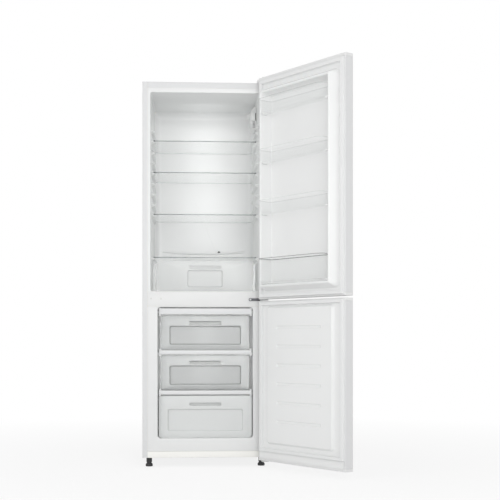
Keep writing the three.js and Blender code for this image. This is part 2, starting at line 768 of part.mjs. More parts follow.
/** A ledge moulded into the left wall, sloping back to the wall underneath. */
function ledge(reachX, wallX, top, [y0, y1]) {
  const profile = [
    [-wallX, top],
    [-wallX, top - LEDGE_HEIGHT],
    [-reachX, top - LEDGE_HEIGHT / 2],
    [-reachX, top],
  ];
  return frontSolid(profile, [y0, y1]);
}

function fridgeLiner() {
  const shell = fridgeHollow(PLASTIC, 0);
  const wallX = fridgeHalf + PLASTIC;
  const tops = Array.from({ length: SHELF_LEVELS }, (_, i) => shelfTop(i) - GLASS - FIT);
  tops.push(crisperCoverTop - GLASS - FIT);
  const reach = [LEDGE_FRONT, fridgeDepth - FRIDGE_REAR_RADIUS];
  const ledges = tops.map((top) => ledge(shelfHalf - LEDGE_REACH, wallX, top, reach));
  const bossZ = around(switchZ, SWITCH_SIZE / 2 + SWITCH_BOSS_MARGIN);
  const switchBoss = block([fridgeHalf - SWITCH_BOSS_INSET, wallX], SWITCH_BOSS, bossZ);
  const fittings = join(...ledges, ...ledges.map(mirrorX), gutter(), switchBoss);
  const edge = block(
    [-frameHalf, frameHalf],
    [0, PLASTIC],
    [fridgeFloor - CROSSBAR_LIP + FIT, CASE_TOP - TOP_FLANGE - FIT],
  );
  const liner = join(cut(join(shell, edge), fridgeHollow(0, -1)), fittings.intersect(shell));
  const drainSpan = [fridgeDepth - FRIDGE_REAR_RADIUS, fridgeDepth + GUTTER_REACH];
  const drain = rod("y", DRAIN_RADIUS, drainSpan, [DRAIN_X, gutterZ - DRAIN_DROP]);
  const switchDepth = [0, SWITCH_END + SWITCH_TRAVEL];
  const switchHole = block(switchSpan(FIT), switchDepth, around(switchZ, SWITCH_SIZE / 2 + FIT));
  return cut(liner, drain, switchHole);
}

/** Where the light switch's button stands, across. */
function switchSpan(by) {
  const inner = fridgeHalf - SWITCH_INSET;
  return grown([inner, inner + SWITCH_SIZE], by);
}

/** A shallow band that sags to the drain, standing out from the rear wall. */
function gutter() {
  const half = fridgeHalf - GUTTER_END_GAP;
  const line = (lift) =>
    Array.from({ length: GUTTER_STEPS + 1 }, (_, i) => {
      const share = (2 * i) / GUTTER_STEPS - 1;
      return [share * half, gutterZ + GUTTER_SAG * (share * share - 1) + lift];
    });
  const band = [...line(-GUTTER_HEIGHT), ...line(0).reverse()];
  return frontSolid(band, [fridgeDepth - GUTTER_REACH, fridgeDepth + PLASTIC]);
}

const lowestStrip = stepTop + EVAPORATOR_RISE;
const highestStrip = freezerRoof - EVAPORATOR_DROP;
const middleStrip = THREE.MathUtils.lerp(lowestStrip, highestStrip, EVAPORATOR_MIDDLE_SHARE);
const stripTops = [highestStrip, middleStrip, lowestStrip];
const stripBottoms = stripTops.map((top, i) => top - STRIP_HEIGHTS[i]);
const coilTops = stripTops.map((top) => top - STRIP_WALL - FIT);
const coilHalf = freezerHalf - COIL_SIDE_GAP;

function freezerLiner() {
  const shell = freezerHollow(PLASTIC, 0);
  const wallX = freezerHalf + PLASTIC;
  const reach = [STRIP_FRONT + STRIP_DEPTH + STRIP_SEAT_GAP, stepDepth - FREEZER_REAR_RADIUS];
  const ledges = coilTops.map((top) =>
    ledge(coilHalf - LEDGE_REACH, wallX, top - 2 * COIL_RADIUS - FIT, reach),
  );
  const fittings = join(...ledges, ...ledges.map(mirrorX)).intersect(shell);
  const z = [kickTop + FIT, freezerRoof + CROSSBAR_LIP - FIT];
  const edge = block([-frameHalf, frameHalf], [0, PLASTIC], z);
  return join(cut(join(shell, edge), freezerHollow(0, -1)), fittings);
}

/** The insulation that fills the cabinet between its shell and both liners. */
function cabinetFoam() {
  const half = halfCase - STEEL - FIT;
  const bulk = block(
    [-half, half],
    [PLASTIC + FIT, backFace - BEAD_DEPTH - STEEL - FIT],
    [CASE_BOTTOM, CASE_TOP - STEEL - FIT],
  );
  const behindSkin = PLASTIC + FIT;
  const flange = sideFlangeRoom();
  const pocketTop = stemTop + STEM_CLEARANCE + FIT;
  const pocket = (x) =>
    rod("z", STEM_RADIUS + STEM_CLEARANCE, [0, pocketTop], [x, FOOT_Y], SMALL_SIDES);
  return cut(
    bulk,
    fridgeHollow(behindSkin, -1),
    freezerHollow(behindSkin, -1),
    panRoom(),
    flange,
    mirrorX(flange),
    topFlangeRoom(),
    pocket(footX),
    pocket(-footX),
    switchPocket(),
  );
}

/** Everything on the other side of the base pan, and the kick plate's place in front of it. */
function panRoom() {
  const above = shifted(panPath, PAN_THICKNESS + FIT);
  const lip = above[0][0];
  const rear = [CASE_DEPTH, above.at(-1)[1]];
  const outside = [rear, [CASE_DEPTH, -1], [-1, -1], [-1, kickTop + FIT], [lip, kickTop + FIT]];
  return sideSolid([...above.slice(1), ...outside], [-CASE_WIDTH, CASE_WIDTH]);
}

/** Room for the rounded fold between a side panel and its front edge. */
function sideFlangeRoom() {
  const corner = [
    [-halfCase - 1, -1],
    [-halfCase + BEND + STEEL + FIT, -1],
    [-halfCase - 1, BEND + STEEL + FIT + 1],
  ];
  return planSolid(corner, [0, CASE_TOP + 1]);
}

function topFlangeRoom() {
  const corner = [
    [-1, CASE_TOP + 1],
    [-1, CASE_TOP - BEND - STEEL - FIT],
    [BEND + STEEL + FIT + 1, CASE_TOP + 1],
  ];
  return sideSolid(corner, [-CASE_WIDTH, CASE_WIDTH]);
}

/** The light switch's housing reaches this far into the foam. */
function switchPocket() {
  const x = [fridgeHalf - SWITCH_BOSS_INSET, fridgeHalf + PLASTIC + FIT + 1];
  const y = [SWITCH_TIP - FIT, SWITCH_BOSS[1] - 2 * PLASTIC];
  return block(x, y, around(switchZ, SWITCH_SIZE));
}

// ---------------------------------------------------------------- shelves and crisper

const shelfDepth = [SHELF_FRONT, fridgeDepth - SHELF_REAR_GAP];

function glassShelf(top) {
  const x = [-shelfHalf, shelfHalf];
  const corners = roundedRectangle(x, shelfDepth, GLASS_CORNER, FRIDGE_REAR_RADIUS);
  return planSolid(corners, [top - GLASS, top]);
}

/** An open tub: plan corners rounded, walls leaning out towards the top. */
function tub({ x, y, z, lean, wall, nearRadius, farRadius }) {
  const skin = (by, bottom, top) =>
    heightLoft([
      { z: bottom, x: grown(x, -lean - by), y: grown(y, -lean - by), radius: nearRadius, farRadius },
      { z: top, x: grown(x, -by), y: grown(y, -by), radius: nearRadius, farRadius },
    ]);
  return cut(skin(0, z[0], z[1]), skin(wall, z[0] + wall, z[1] + FIT));
}

/** A drawer: a tub behind a front plate whose middle is dished back, with a lipped grip slot. */
function drawer(half, [front, rear], [bottom, top], form) {
  const wall = DRAWER_WALL;
  const body = tub({
    x: [-half + wall, half - wall],
    y: [front + FIT, rear],
    z: [bottom, top - form.rim],
    lean: form.lean,
    wall,
    nearRadius: TUB_NEAR_RADIUS,
    farRadius: TUB_FAR_RADIUS,
  });
  const face = roundedRectangle([-half, half], [bottom, top], form.corner, UPPER_FORM.corner);
  const plate = frontSolid(face, [front, front + wall]);
  const dish = (by, depths) => {
    const x = grown([form.side - half, half - form.side], by);
    const z = grown([bottom + form.below, top - form.above], by);
    return frontSolid(roundedRectangle(x, z, DISH_CORNER), depths);
  };
  const back = dish(wall, [front, front + DISH_DEPTH + wall]);
  const hollowed = dish(0, [front - 1, front + DISH_DEPTH]);
  const slotTop = top - form.slot;
  const slot = block(
    around(0, SLOT_WIDTH / 2),
    [front - 1, front + 2 * DISH_DEPTH],
    [slotTop - SLOT_HEIGHT, slotTop],
  );
  const lipSpan = around(0, SLOT_WIDTH / 2 + GRIP_LIP_OVERLAP);
  const lip = rod("x", GRIP_LIP_RADIUS, lipSpan, [front, slotTop + GRIP_LIP_RADIUS + FIT], SMALL_SIDES);
  const ahead = block(grown(lipSpan, 1), [front - SLOT_HEIGHT, front + wall / 2], [bottom, top]);
  return join(cut(join(body, plate, back), hollowed, slot), lip.intersect(ahead));
}

function crisper() {
  const y = [CRISPER_FRONT, fridgeDepth - CRISPER_REAR_GAP];
  const z = [fridgeFloor + FIT, fridgeFloor + CRISPER_HEIGHT];
  return drawer(fridgeHalf - CRISPER_SIDE_GAP, y, z, CRISPER_FORM);
}

function upperFreezerDrawer(stripBelow, stripAbove) {
  const y = [DRAWER_FRONT_UPPER, freezerDepth - DRAWER_REAR_GAP];
  const z = [stripBelow + COIL_BAR_RISE + FIT, stripAbove - DRAWER_HEADROOM];
  return drawer(freezerHalf - DRAWER_SIDE_GAP, y, z, UPPER_FORM);
}

function lowerFreezerDrawer() {
  const y = [DRAWER_FRONT_LOWER, stepDepth - LOWER_DRAWER_REAR_GAP];
  const z = [freezerFloor + FIT, stripBottoms[2] - DRAWER_HEADROOM];
  return drawer(freezerHalf - LOWER_DRAWER_SIDE_GAP, y, z, LOWER_FORM);
}

// ---------------------------------------------------------------- evaporator levels

/** A tube bent to and fro, with flat bars across it that carry the drawer above. */
function evaporatorCoil(stripTop, runs) {
  const z = stripTop - STRIP_WALL - FIT - COIL_RADIUS;
  const straight = coilHalf - COIL_PITCH / 2 - COIL_RADIUS;
  const start = STRIP_FRONT + STRIP_WALL + FIT + COIL_RADIUS;
  const path = serpentine(straight, start, COIL_PITCH, runs, COIL_BEND_STEPS);
  const line = tube(path.map(([x, y]) => [x, y, z]), COIL_RADIUS);
  const barSpan = [STRIP_FRONT + STRIP_DEPTH + FIT, start + (runs - 1) * COIL_PITCH];
  const bars = Array.from({ length: COIL_BARS }, (_, i) => {
    const x = straight * (i - (COIL_BARS - 1) / 2) * COIL_BAR_SPREAD;
    return block(around(x, COIL_BAR_WIDTH / 2), barSpan, [z, stripTop + COIL_BAR_RISE]);
  });
  return join(line, ...bars);
}

/** The white strip on the front of an evaporator level, hooked over its first tube and clipped. */
function frontStrip(top, bottom) {
  const half = freezerHalf - STRIP_SIDE_GAP;
  const rear = STRIP_FRONT + STRIP_DEPTH;
  const path = [
    [rear, top],
    [STRIP_FRONT, top],
    [STRIP_FRONT, bottom],
    [rear, bottom],
  ];
  const band = sideSolid(sheet(rounded(path, BEND), STRIP_WALL), [-half, half]);
  const underCoil = top - STRIP_WALL - 2 * COIL_RADIUS - 2 * FIT;
  const clip = block(
    [half - STRIP_WALL / 2, half + STRIP_CLIP_REACH],
    [STRIP_FRONT + STRIP_WALL / 2, rear],
    [bottom - STRIP_CLIP_DROP, underCoil],
  );
  return join(band, clip, mirrorX(clip));
}

// ---------------------------------------------------------------- lamp, thermostat and switch

const housingWall = halfAt(fridgeRoom, HOUSING_FRONT + HOUSING_LENGTH) - FIT;
const housingInner = housingWall - HOUSING_REACH;
const knobZ = housingZ(KNOB_SHARE);
const knobY = HOUSING_FRONT + HOUSING_LENGTH / 2;

/** A moulded cover whose profile swells out from the wall, with slots that let the heat out. */
function lampHousing() {
  const shares = [
    [HOUSING_REACH, 0],
    [0.68 * HOUSING_REACH, 0.01],
    [0.3 * HOUSING_REACH, 0.16],
    [0, 0.32],
    [0, 0.74],
    [0.22 * HOUSING_REACH, 0.84],
    [0.68 * HOUSING_REACH, 0.97],
    [HOUSING_REACH, 1],
  ];
  const profile = shares.map(([reach, share]) => [housingInner + reach, housingZ(share)]);
  const end = HOUSING_FRONT + HOUSING_LENGTH;
  const body = frontSolid(rounded(profile, HOUSING_BEND).reverse(), [HOUSING_FRONT, end]);
  const vents = Array.from({ length: VENT_COUNT }, (_, i) => {
    const y = end - (i + 1) * VENT_PITCH;
    const x = [housingInner - 1, housingInner + VENT_DEPTH];
    return block(x, [y, y + VENT_WIDTH], [housingZ(0.38), housingZ(0.7)]);
  });
  return cut(body, ...vents);
}

function lampLens() {
  const x = [housingInner + LENS_INSET, housingWall - LENS_INSET];
  const z = LENS_SHARES.map(housingZ);
  const y = HOUSING_FRONT - FIT;
  return depthLoft([
    { y: y - LENS_REACH, x: grown(x, -LENS_TAPER), z: grown(z, -LENS_TAPER), radius: LENS_REACH },
    { y, x, z, radius: LENS_REACH },
  ]);
}

/** A dial with a raised grip across it. */
function thermostatKnob() {
  const face = housingInner - FIT;
  const dial = rod("x", KNOB_RADIUS, [face - KNOB_REACH / 2, face], [knobY, knobZ], WHEEL_SIDES);
  const grip = block(
    [face - KNOB_REACH, face - 1],
    around(knobY, GRIP_HALF_WIDTH),
    around(knobZ, 0.9 * KNOB_RADIUS),
  );
  return join(dial, grip);
}

function lightSwitchButton() {
  return block(switchSpan(0), [SWITCH_TIP, SWITCH_END], around(switchZ, SWITCH_SIZE / 2));
}

// ---------------------------------------------------------------- doors

const openDoor = () => {
  const hinge = new THREE.Group();
  hinge.position.set(pinX, pinY, 0);
  hinge.rotation.z = THREE.MathUtils.degToRad(DOOR_OPEN);
  const drawnClosed = new THREE.Group();
  drawnClosed.position.set(-pinX, -pinY, 0);
  hinge.add(drawnClosed);
  fridge.add(hinge);
  return drawnClosed;
};

/** A door from above: lip, free edge, outer face, hinge edge and lip. */
const doorPath = [
  [-halfCase + DOOR_LIP, doorInner],
  ...rounded(
    [
      [-halfCase, doorInner],
      [-halfCase, doorOuter],
      [halfCase, doorOuter],
      [halfCase, doorInner],
    ],
    DOOR_BEND,
  ),
  [halfCase - DOOR_LIP, doorInner],
];
const liningHalf = halfCase - DOOR_LIP - FIT;
const innerPlane = doorInner - PLASTIC - FIT; // where the door's foam ends

const doorSkin = ([z0, z1]) =>
  planSolid(sheet(doorPath, STEEL), [z0 + CAP_HEIGHT + FIT, z1 - CAP_HEIGHT - FIT]);

function doorCap([z0, z1]) {
  const pin = rod("z", PIN_RADIUS + PIN_CLEARANCE, [z0 - 1, z1 + 1], [pinX, pinY]);
  return cut(planSolid(doorPath, [z0, z1]), pin);
}

function doorFoam([z0, z1], raised, sunk) {
  const height = [z0 + CAP_HEIGHT + FIT, z1 - CAP_HEIGHT - FIT];
  const filled = planSolid(shifted(doorPath, STEEL + FIT), height);
  const beyond = block([-CASE_WIDTH, CASE_WIDTH], [innerPlane, CASE_DEPTH], [0, 2 * CASE_TOP]);
  return cut(join(cut(filled, beyond), raised(-PLASTIC - FIT)), ...sunk(PLASTIC + FIT));
}

/** The moulded sheet over a door's inner side, with the same forms as its foam. */
function doorLining([z0, z1], raised, sunk, deepest) {
  const height = [z0 + CAP_HEIGHT + FIT, z1 - CAP_HEIGHT - FIT];
  const x = [-liningHalf, liningHalf];
  const bottom = doorInner - deepest - PLASTIC;
  const full = cut(join(block(x, [bottom, doorInner], height), raised(0)), ...sunk(0));
  const behind = block(grown(x, 1), [bottom - ROOT, doorInner - PLASTIC], grown(height, 1));
  return cut(full, cut(join(behind, raised(-PLASTIC)), ...sunk(PLASTIC)));
}

/** A soft magnetic seal: a wide foot and a narrower face that meets the cabinet's frame. */
function gasket([z0, z1]) {
  const ring = (inset, y) => {
    const x = [-halfCase + GASKET_EDGE + inset, halfCase - GASKET_HINGE_EDGE - inset];
    const z = [z0 + inset, z1 - inset];
    const width = GASKET_WIDTH - 2 * inset;
    const hole = block(grown(x, -width), grown(y, 1), grown(z, -width));
    return cut(block(x, y, z), hole);
  };
  const foot = doorInner + FIT;
  return join(ring(0, [foot, foot + GASKET_FOOT]), ring(GASKET_STEP, [foot, -FIT]));
}

const dykeX = [-fridgeHalf + DYKE_CLEARANCE - DYKE_FREE_SHIFT, fridgeHalf - DYKE_CLEARANCE];
const dykeZ = [upperDoorBottom + DYKE_BOTTOM_MARGIN, doorTop - DYKE_TOP_MARGIN];
const ridgeY = doorInner + DYKE_HEIGHT;
const recessFloor = doorInner - RECESS_DEPTH;
const ridgeX = grown(dykeX, -DYKE_SLOPE);
const ridgeZ = grown(dykeZ, -DYKE_SLOPE);
const recessX = grown(ridgeX, -DYKE_RIDGE - RECESS_DRAFT);
const recessZ = grown(ridgeZ, -DYKE_RIDGE - RECESS_DRAFT);

const topBinFloor = recessZ[1] - TOP_BIN_DROP;
const upperBinFloor = topBinFloor - UPPER_BIN_DROP;
const lowerBinFloor = upperBinFloor - LOWER_BIN_DROP;
const bins = [
  { name: "door_bin_top", bottom: topBinFloor, height: TOP_BIN_HEIGHT },
  { name: "door_bin_upper", bottom: upperBinFloor, height: UPPER_BIN_HEIGHT },
  { name: "door_bin_lower", bottom: lowerBinFloor, height: LOWER_BIN_HEIGHT },
  { name: "bottle_bin", bottom: recessZ[0] + BOTTLE_BIN_RISE, height: BOTTLE_BIN_HEIGHT },
];

function dyke(by) {
  return depthLoft([
    { y: doorInner - ROOT, x: grown(dykeX, by), z: grown(dykeZ, by), radius: DYKE_CORNER },
    { y: doorInner, x: grown(dykeX, by), z: grown(dykeZ, by), radius: DYKE_CORNER },
    { y: ridgeY + by, x: grown(ridgeX, by), z: grown(ridgeZ, by), radius: RIDGE_CORNER },
  ]);
}

function recess(by) {
  const rise = RECESS_DRAFT / (RECESS_DEPTH + DYKE_HEIGHT); // lean of the recess walls
  const above = ridgeY + 2 * PLASTIC;
  const mouth = by + rise * (above - recessFloor);
  return depthLoft([
    { y: recessFloor - by, x: grown(recessX, by), z: grown(recessZ, by), radius: RECESS_CORNER },
    { y: above, x: grown(recessX, mouth), z: grown(recessZ, mouth), radius: DISH_CORNER },
  ]);
}

function upperLining() {
  const lining = doorLining([upperDoorBottom, doorTop], dyke, (by) => [recess(by)], RECESS_DEPTH);
  const y = [recessFloor + LUG_SETBACK, recessFloor + LUG_SETBACK + LUG_LENGTH];
  const lugs = bins.flatMap(({ bottom }) =>
    [recessX[0], recessX[1]].map((wall) => {
      const x = around(wall, LUG_REACH);
      const lug = block(x, y, [bottom - FIT - LUG_HEIGHT, bottom - FIT]);
      return lug.intersect(recess(PLASTIC / 2));
    }),
  );
  return join(lining, ...lugs);
}

/** A clear bin that hangs between the walls of the recess, with rounded front corners. */
function doorBin({ bottom, height }) {
  const rear = recessFloor + BIN_GAP;
  return tub({
    x: grown(recessX, -BIN_GAP),
    y: [rear, rear + BIN_REACH],
    z: [bottom, bottom + height],
    lean: BIN_LEAN,
    wall: BIN_WALL,
    nearRadius: TUB_NEAR_RADIUS,
    farRadius: BIN_CORNER,
  });
}

const padX = [-halfCase + PAD_MARGIN, halfCase - PAD_MARGIN];
const padZ = [doorBottom + PAD_BOTTOM_MARGIN, lowerDoorTop - PAD_TOP_MARGIN];
const grooveX = grown(padX, -GROOVE_SIDE_GAP);
const grooveZ = [padZ[0] + GROOVE_LOWEST, padZ[1] - GROOVE_HIGHEST];

function pad(by) {
  return depthLoft([
    { y: doorInner - ROOT, x: grown(padX, by), z: grown(padZ, by), radius: PAD_CORNER },
    { y: doorInner, x: grown(padX, by), z: grown(padZ, by), radius: PAD_CORNER },
    {
      y: doorInner + PAD_HEIGHT + by,
      x: grown(padX, by - PAD_SLOPE),
      z: grown(padZ, by - PAD_SLOPE),
      radius: PAD_FACE_CORNER,
    },
  ]);
}

function grooves(by) {
  const face = doorInner + PAD_HEIGHT;
  return Array.from({ length: GROOVE_COUNT }, (_, i) => {
    const z = THREE.MathUtils.lerp(grooveZ[0], grooveZ[1], i / (GROOVE_COUNT - 1));
    const deep = face - GROOVE_DEPTH - by;
    return block(grown(grooveX, by), [deep, face + 1], around(z, GROOVE_HEIGHT / 2 + by));
  });
}

// ---------------------------------------------------------------- hinges

/** Stepped plate: screwed to its seat on the cabinet, lifted over the door, its pin hanging. */
function topHinge() {
  const over = doorTop + HINGE_LIFT;
  const path = [
    [TOP_BRACKET_LENGTH, hingeSeat + FIT],
    [HINGE_STEP_Y, hingeSeat + FIT],
    [HINGE_STEP_Y, over],
    [pinY - BRACKET_WIDTH / 2, over],
  ];
  const plate = sideSolid(sheet(path, -BRACKET), hingeX);
  const pinSpan = [doorTop - PIN_REACH, over + BRACKET + PIN_HEAD];
  return join(plate, rod("z", PIN_RADIUS, pinSpan, [pinX, pinY]));
}

/** A cap over the part of the top hinge that stands on the cabinet, open towards the door. */
function hingeCover() {
  const top = doorTop + BRACKET + COVER_HEADROOM;
  const inner = hingeX[0] - FIT;
  const front = HINGE_STEP_Y + BRACKET + FIT;
  const outerPlan = roundedRectangle(
    [inner - COVER_WALL, halfCase],
    [front, coverEnd],
    BEND,
    COVER_CORNER,
  );
  const hollowed = block(
    [inner, halfCase - COVER_WALL / 2],
    [0, coverEnd - COVER_WALL],
    [0, top - COVER_WALL],
  );
  return cut(planSolid(outerPlan, [hingeSeat + FIT, top]), hollowed);
}

/** Plate in the gap between the doors, with a pin, its washer and a screwed flange. */
function middleHinge() {
  const z = around(doorSplit, MIDDLE_PLATE / 2);
  const hinged = BRACKET_WIDTH / 3;
  const reach = pinY - BRACKET_WIDTH / 2 + BRACKET;
  const plan = [
    [pinX - MIDDLE_FLANGE_LENGTH * MIDDLE_PLATE_SHARE, -FIT],
    [pinX - BRACKET_WIDTH / 2, pinY],
    [pinX - hinged, reach],
    [pinX + hinged, reach],
    [pinX + BRACKET_WIDTH / 2, pinY],
    [pinX + hinged, -FIT],
  ];
  const flangeX = [pinX + hinged - MIDDLE_FLANGE_LENGTH, pinX + hinged];
  const flangeZ = [z[0], z[0] + MIDDLE_FLANGE_HEIGHT];
  const flangePlan = roundedRectangle(flangeX, flangeZ, MIDDLE_FLANGE_HEIGHT / 3);
  const bossAt = [flangeX[0] + BOSS_RADIUS, z[0] + MIDDLE_FLANGE_HEIGHT / 2];
  return join(
    planSolid(plan, z),
    frontSolid(flangePlan, [-FIT - BRACKET, -FIT]),
    rod("y", BOSS_RADIUS, [-FIT - BOSS_REACH, -FIT], bossAt, SMALL_SIDES),
    rod("z", WASHER_RADIUS, [z[1], z[1] + WASHER_HEIGHT], [pinX, pinY], SMALL_SIDES),
    rod("z", PIN_RADIUS, [lowerDoorTop - PIN_REACH, upperDoorBottom + PIN_REACH], [pinX, pinY]),
  );
}

/** Angle screwed to the plinth, with the pin that carries the lower door. */
function bottomHinge() {
  const under = doorBottom - BOTTOM_HINGE_GAP;
  const path = [
    [-FIT, kickTop - BOTTOM_HINGE_DROP],
    [-FIT, under - BRACKET],
    [pinY - BRACKET_WIDTH / 2, under - BRACKET],
  ];
  const angle = sideSolid(sheet(path, -BRACKET), hingeX);
  const pin = rod("z", PIN_RADIUS, [under - BRACKET / 2, doorBottom + PIN_REACH], [pinX, pinY]);
  return join(angle, pin);
}

// ---------------------------------------------------------------- feet, rollers and rail

/** A screw-in levelling foot: pad, knurled collar and stem. */
function levellingFoot(x) {
  const neck = FOOT_RADIUS * FOOT_NECK_SHARE;
  const under = CASE_BOTTOM - FIT;
  const profile = [
    [0, 0],
    [FOOT_RADIUS, 0],
    [FOOT_RADIUS, FOOT_PAD_HEIGHT],
    [neck, FOOT_NECK_START],
    [neck, under],
    [STEM_RADIUS, under],
    [STEM_RADIUS, stemTop],
    [0, stemTop],
  ].map(([radius, height]) => new THREE.Vector2(radius, height));
  const turned = new THREE.LatheGeometry(profile, ROUND_SIDES);
  return solidOf(turned.rotateX(Math.PI / 2).translate(x, FOOT_Y, 0));
}

const rollerX = halfCase - ROLLER_INSET;
const rollerAxis = [rollerY, ROLLER_RADIUS];

function rearRoller(side) {
  const x = side * rollerX;
  const wheel = rod("x", ROLLER_RADIUS, around(x, ROLLER_WIDTH / 2), rollerAxis, WHEEL_SIDES);
  const axle = rod("x", AXLE_RADIUS, around(x, ROLLER_WIDTH / 2 + AXLE_REACH), rollerAxis, SMALL_SIDES);
  return join(wheel, axle);
}

/** The steel rail across the rear that carries the compressor and the rollers. */
function compressorRail() {
  const half = halfCase - STEEL - FIT;
  const y = [machineFront + RAIL_FRONT_GAP, CASE_DEPTH - RAIL_REAR_GAP];
  const path = [
    [y[0], CASE_BOTTOM + RAIL_EDGE],
    [y[0], CASE_BOTTOM],
    [y[1], CASE_BOTTOM],
    [y[1], CASE_BOTTOM + RAIL_EDGE],
  ];
  const rail = sideSolid(sheet(rounded(path, BEND), RAIL_PLATE), [-half, half]);
  const earPlaces = [-1, 1].flatMap((side) =>
    [-1, 1].map((edge) => side * rollerX + edge * (ROLLER_WIDTH / 2 + EAR_GAP + EAR_THICKNESS / 2)),
  );
  const earZ = [ROLLER_RADIUS - EAR_DROP, CASE_BOTTOM + RAIL_PLATE];
  const ears = earPlaces.map((x) => {
    const ear = block(around(x, EAR_THICKNESS / 2), around(rollerY, EAR_HALF_LENGTH), earZ);
    return cut(ear, rod("x", AXLE_RADIUS + FIT, around(x, EAR_THICKNESS), rollerAxis, SMALL_SIDES));
  });
  return join(rail, ...ears);
}

// ---------------------------------------------------------------- cooling machine

const compressorY = (machineFront + CASE_DEPTH) / 2;
const canBottom = CASE_BOTTOM + RAIL_PLATE + COMPRESSOR_LIFT;
const canTop = canBottom + COMPRESSOR_HEIGHT;
const canX = around(COMPRESSOR_X, COMPRESSOR_LENGTH / 2);
const stubAt = [compressorY, canBottom + STUB_SHARE * COMPRESSOR_HEIGHT];

/** Two pressed half shells welded round a seam, on a foot plate with four soft mounts. */
function compressor() {
  const profile = [
    [0, 0],
    [0.62, 0.03],
    [0.88, 0.12],
    [0.96, 0.28],
    [0.97, CAN_SEAM - 0.02],
    [1, CAN_SEAM - 0.02],
    [1, CAN_SEAM + 0.02],
    [0.96, CAN_SEAM + 0.02],
    [0.93, 0.76],
    [0.8, 0.9],
    [0.5, 0.98],
    [0, 1],
  ].map(([across, up]) => {
    return new THREE.Vector2((across * COMPRESSOR_WIDTH) / 2, up * COMPRESSOR_HEIGHT);
  });
  const can = new THREE.LatheGeometry(profile, WHEEL_SIDES).rotateX(Math.PI / 2);
  can.scale(COMPRESSOR_LENGTH / COMPRESSOR_WIDTH, 1, 1);
  can.translate(COMPRESSOR_X, compressorY, canBottom);
  const plateX = grown(canX, -PLATE_INSET_X);
  const plateY = around(compressorY, COMPRESSOR_WIDTH / 2 - PLATE_INSET_Y);
  const plate = roundedRectangle(plateX, plateY, PLATE_CORNER);
  const mounts = grown(plateX, -SOFT_MOUNT_INSET).flatMap((x) =>
    grown(plateY, -SOFT_MOUNT_INSET).map((y) => {
      const z = [CASE_BOTTOM + RAIL_PLATE + FIT, canBottom];
      return rod("z", SOFT_MOUNT_RADIUS, z, [x, y], SMALL_SIDES);
    }),
  );
  return join(
    solidOf(can),
    planSolid(plate, [canBottom - PLATE_DROP, canBottom + PLATE_RISE]),
    ...mounts,
    rod("x", STUB_RADIUS, [COMPRESSOR_X, canX[1] + STUB_REACH], stubAt, SMALL_SIDES),
  );
}

const relayX = [canX[0] - FIT - RELAY_DEPTH, canX[0] - FIT];
const relayBottom = canBottom + RELAY_RISE;

/** The snap-on box with the starter and overload switch, on the compressor's left end. */
function startRelay() {
  const y = around(compressorY, RELAY_SIZE / 2);
  const z = [relayBottom, relayBottom + RELAY_SIZE];
  return sideSolid(roundedRectangle(y, z, RELAY_CORNER), relayX);
}

/** Cable gland on the relay box, where the supply would enter. */
function mainsInlet() {
  const end = relayX[0] - FIT;
  const axis = [compressorY, relayBottom + INLET_RISE];
  const collar = rod("x", INLET_COLLAR_RADIUS, [end - INLET_COLLAR_LENGTH, end], axis, SMALL_SIDES);
  const inner = end - INLET_COLLAR_LENGTH / 2;
  const neck = rod("x", INLET_RADIUS, [end - INLET_LENGTH, inner], axis, SMALL_SIDES);
  const bore = rod("x", INLET_BORE, [end - INLET_LENGTH - 1, inner], axis, SMALL_SIDES);
  return cut(join(collar, neck), bore);
}

/** Tray that sits on the warm compressor and dries the defrost water. */
function evaporatingTray() {
  return tub({
    x: canX,
    y: around(compressorY, COMPRESSOR_WIDTH / 2 - TRAY_INSET),
    z: [canTop + FIT, canTop + FIT + TRAY_HEIGHT],
    lean: TRAY_LEAN,
    wall: TRAY_WALL,
    nearRadius: TRAY_CORNER,
    farRadius: TRAY_CORNER,
  });
}

/** Black tube bent to and fro up the back, on flat straps whose ends step in to the panel. */
function condenser() {
  const tubeY = backFace + CONDENSER_STANDOFF;
  const path = serpentine(condenserStraight, condenserBottom, condenserPitch, CONDENSER_RUNS);
  const line = tube(path.map(([x, z]) => [x, tubeY, z]), TUBE_RADIUS);
  const behindTube = tubeY - TUBE_RADIUS;
  const seat = backFace + FIT;
  const low = condenserBottom - STRAP_OVERHANG;
  const high = condenserTop + STRAP_OVERHANG;
  const side = [
    [seat, low - 2 * STRAP_OVERHANG],
    [seat, low - STRAP_OVERHANG],
    [behindTube, low],
    [behindTube, high],
    [seat, high + STRAP_OVERHANG],
    [seat, high + 2 * STRAP_OVERHANG],
  ];
  const profile = sheet(side, -STRAP_THICKNESS);
  const straps = strapPlaces.map((x) => sideSolid(profile, around(x, STRAP_WIDTH / 2)));
  return join(line, ...straps);
}

/** Suction line from the compressor's stub up to the machine compartment's ceiling. */
function suctionLine() {
  const [y, z] = stubAt;
  const start = canX[1] + STUB_REACH + FIT;
  const path = [
    [start, y, z],
    [start + SUCTION_BEND, y, z],
    [start + SUCTION_BEND * 1.7, y, z + SUCTION_BEND * 0.3],
    [start + SUCTION_BEND * 2, y, z + SUCTION_BEND],
    [start + SUCTION_BEND * 2, y, machineTop - FIT],
  ];
  return tube(path, SUCTION_RADIUS, 8);
}

// ---------------------------------------------------------------- assembly

const leftPanel = sidePanel();
add("side_panel_left", leftPanel, whiteSteel);
add("side_panel_right", mirrorX(leftPanel), whiteSteel);
add("top_panel", topPanel(), whiteSteel);
add("back_panel", backPanel(), whiteSteel);
add("kick_plate", kickPlate(), whitePlastic);
add("base_pan", basePan(), zincSteel);
add("crossbar_cover", crossbarCover(), whitePlastic);
add("cabinet_foam", cabinetFoam(), foamFill);
add("fridge_liner", fridgeLiner(), linerPlastic);
add("freezer_liner", freezerLiner(), linerPlastic);

USED_SHELF_LEVELS.forEach((level, i) => {
  add(`glass_shelf_${i + 1}`, glassShelf(shelfTop(level)), glass);
});
add("crisper_cover", glassShelf(crisperCoverTop), glass);
add("crisper_drawer", crisper(), clearPlastic);

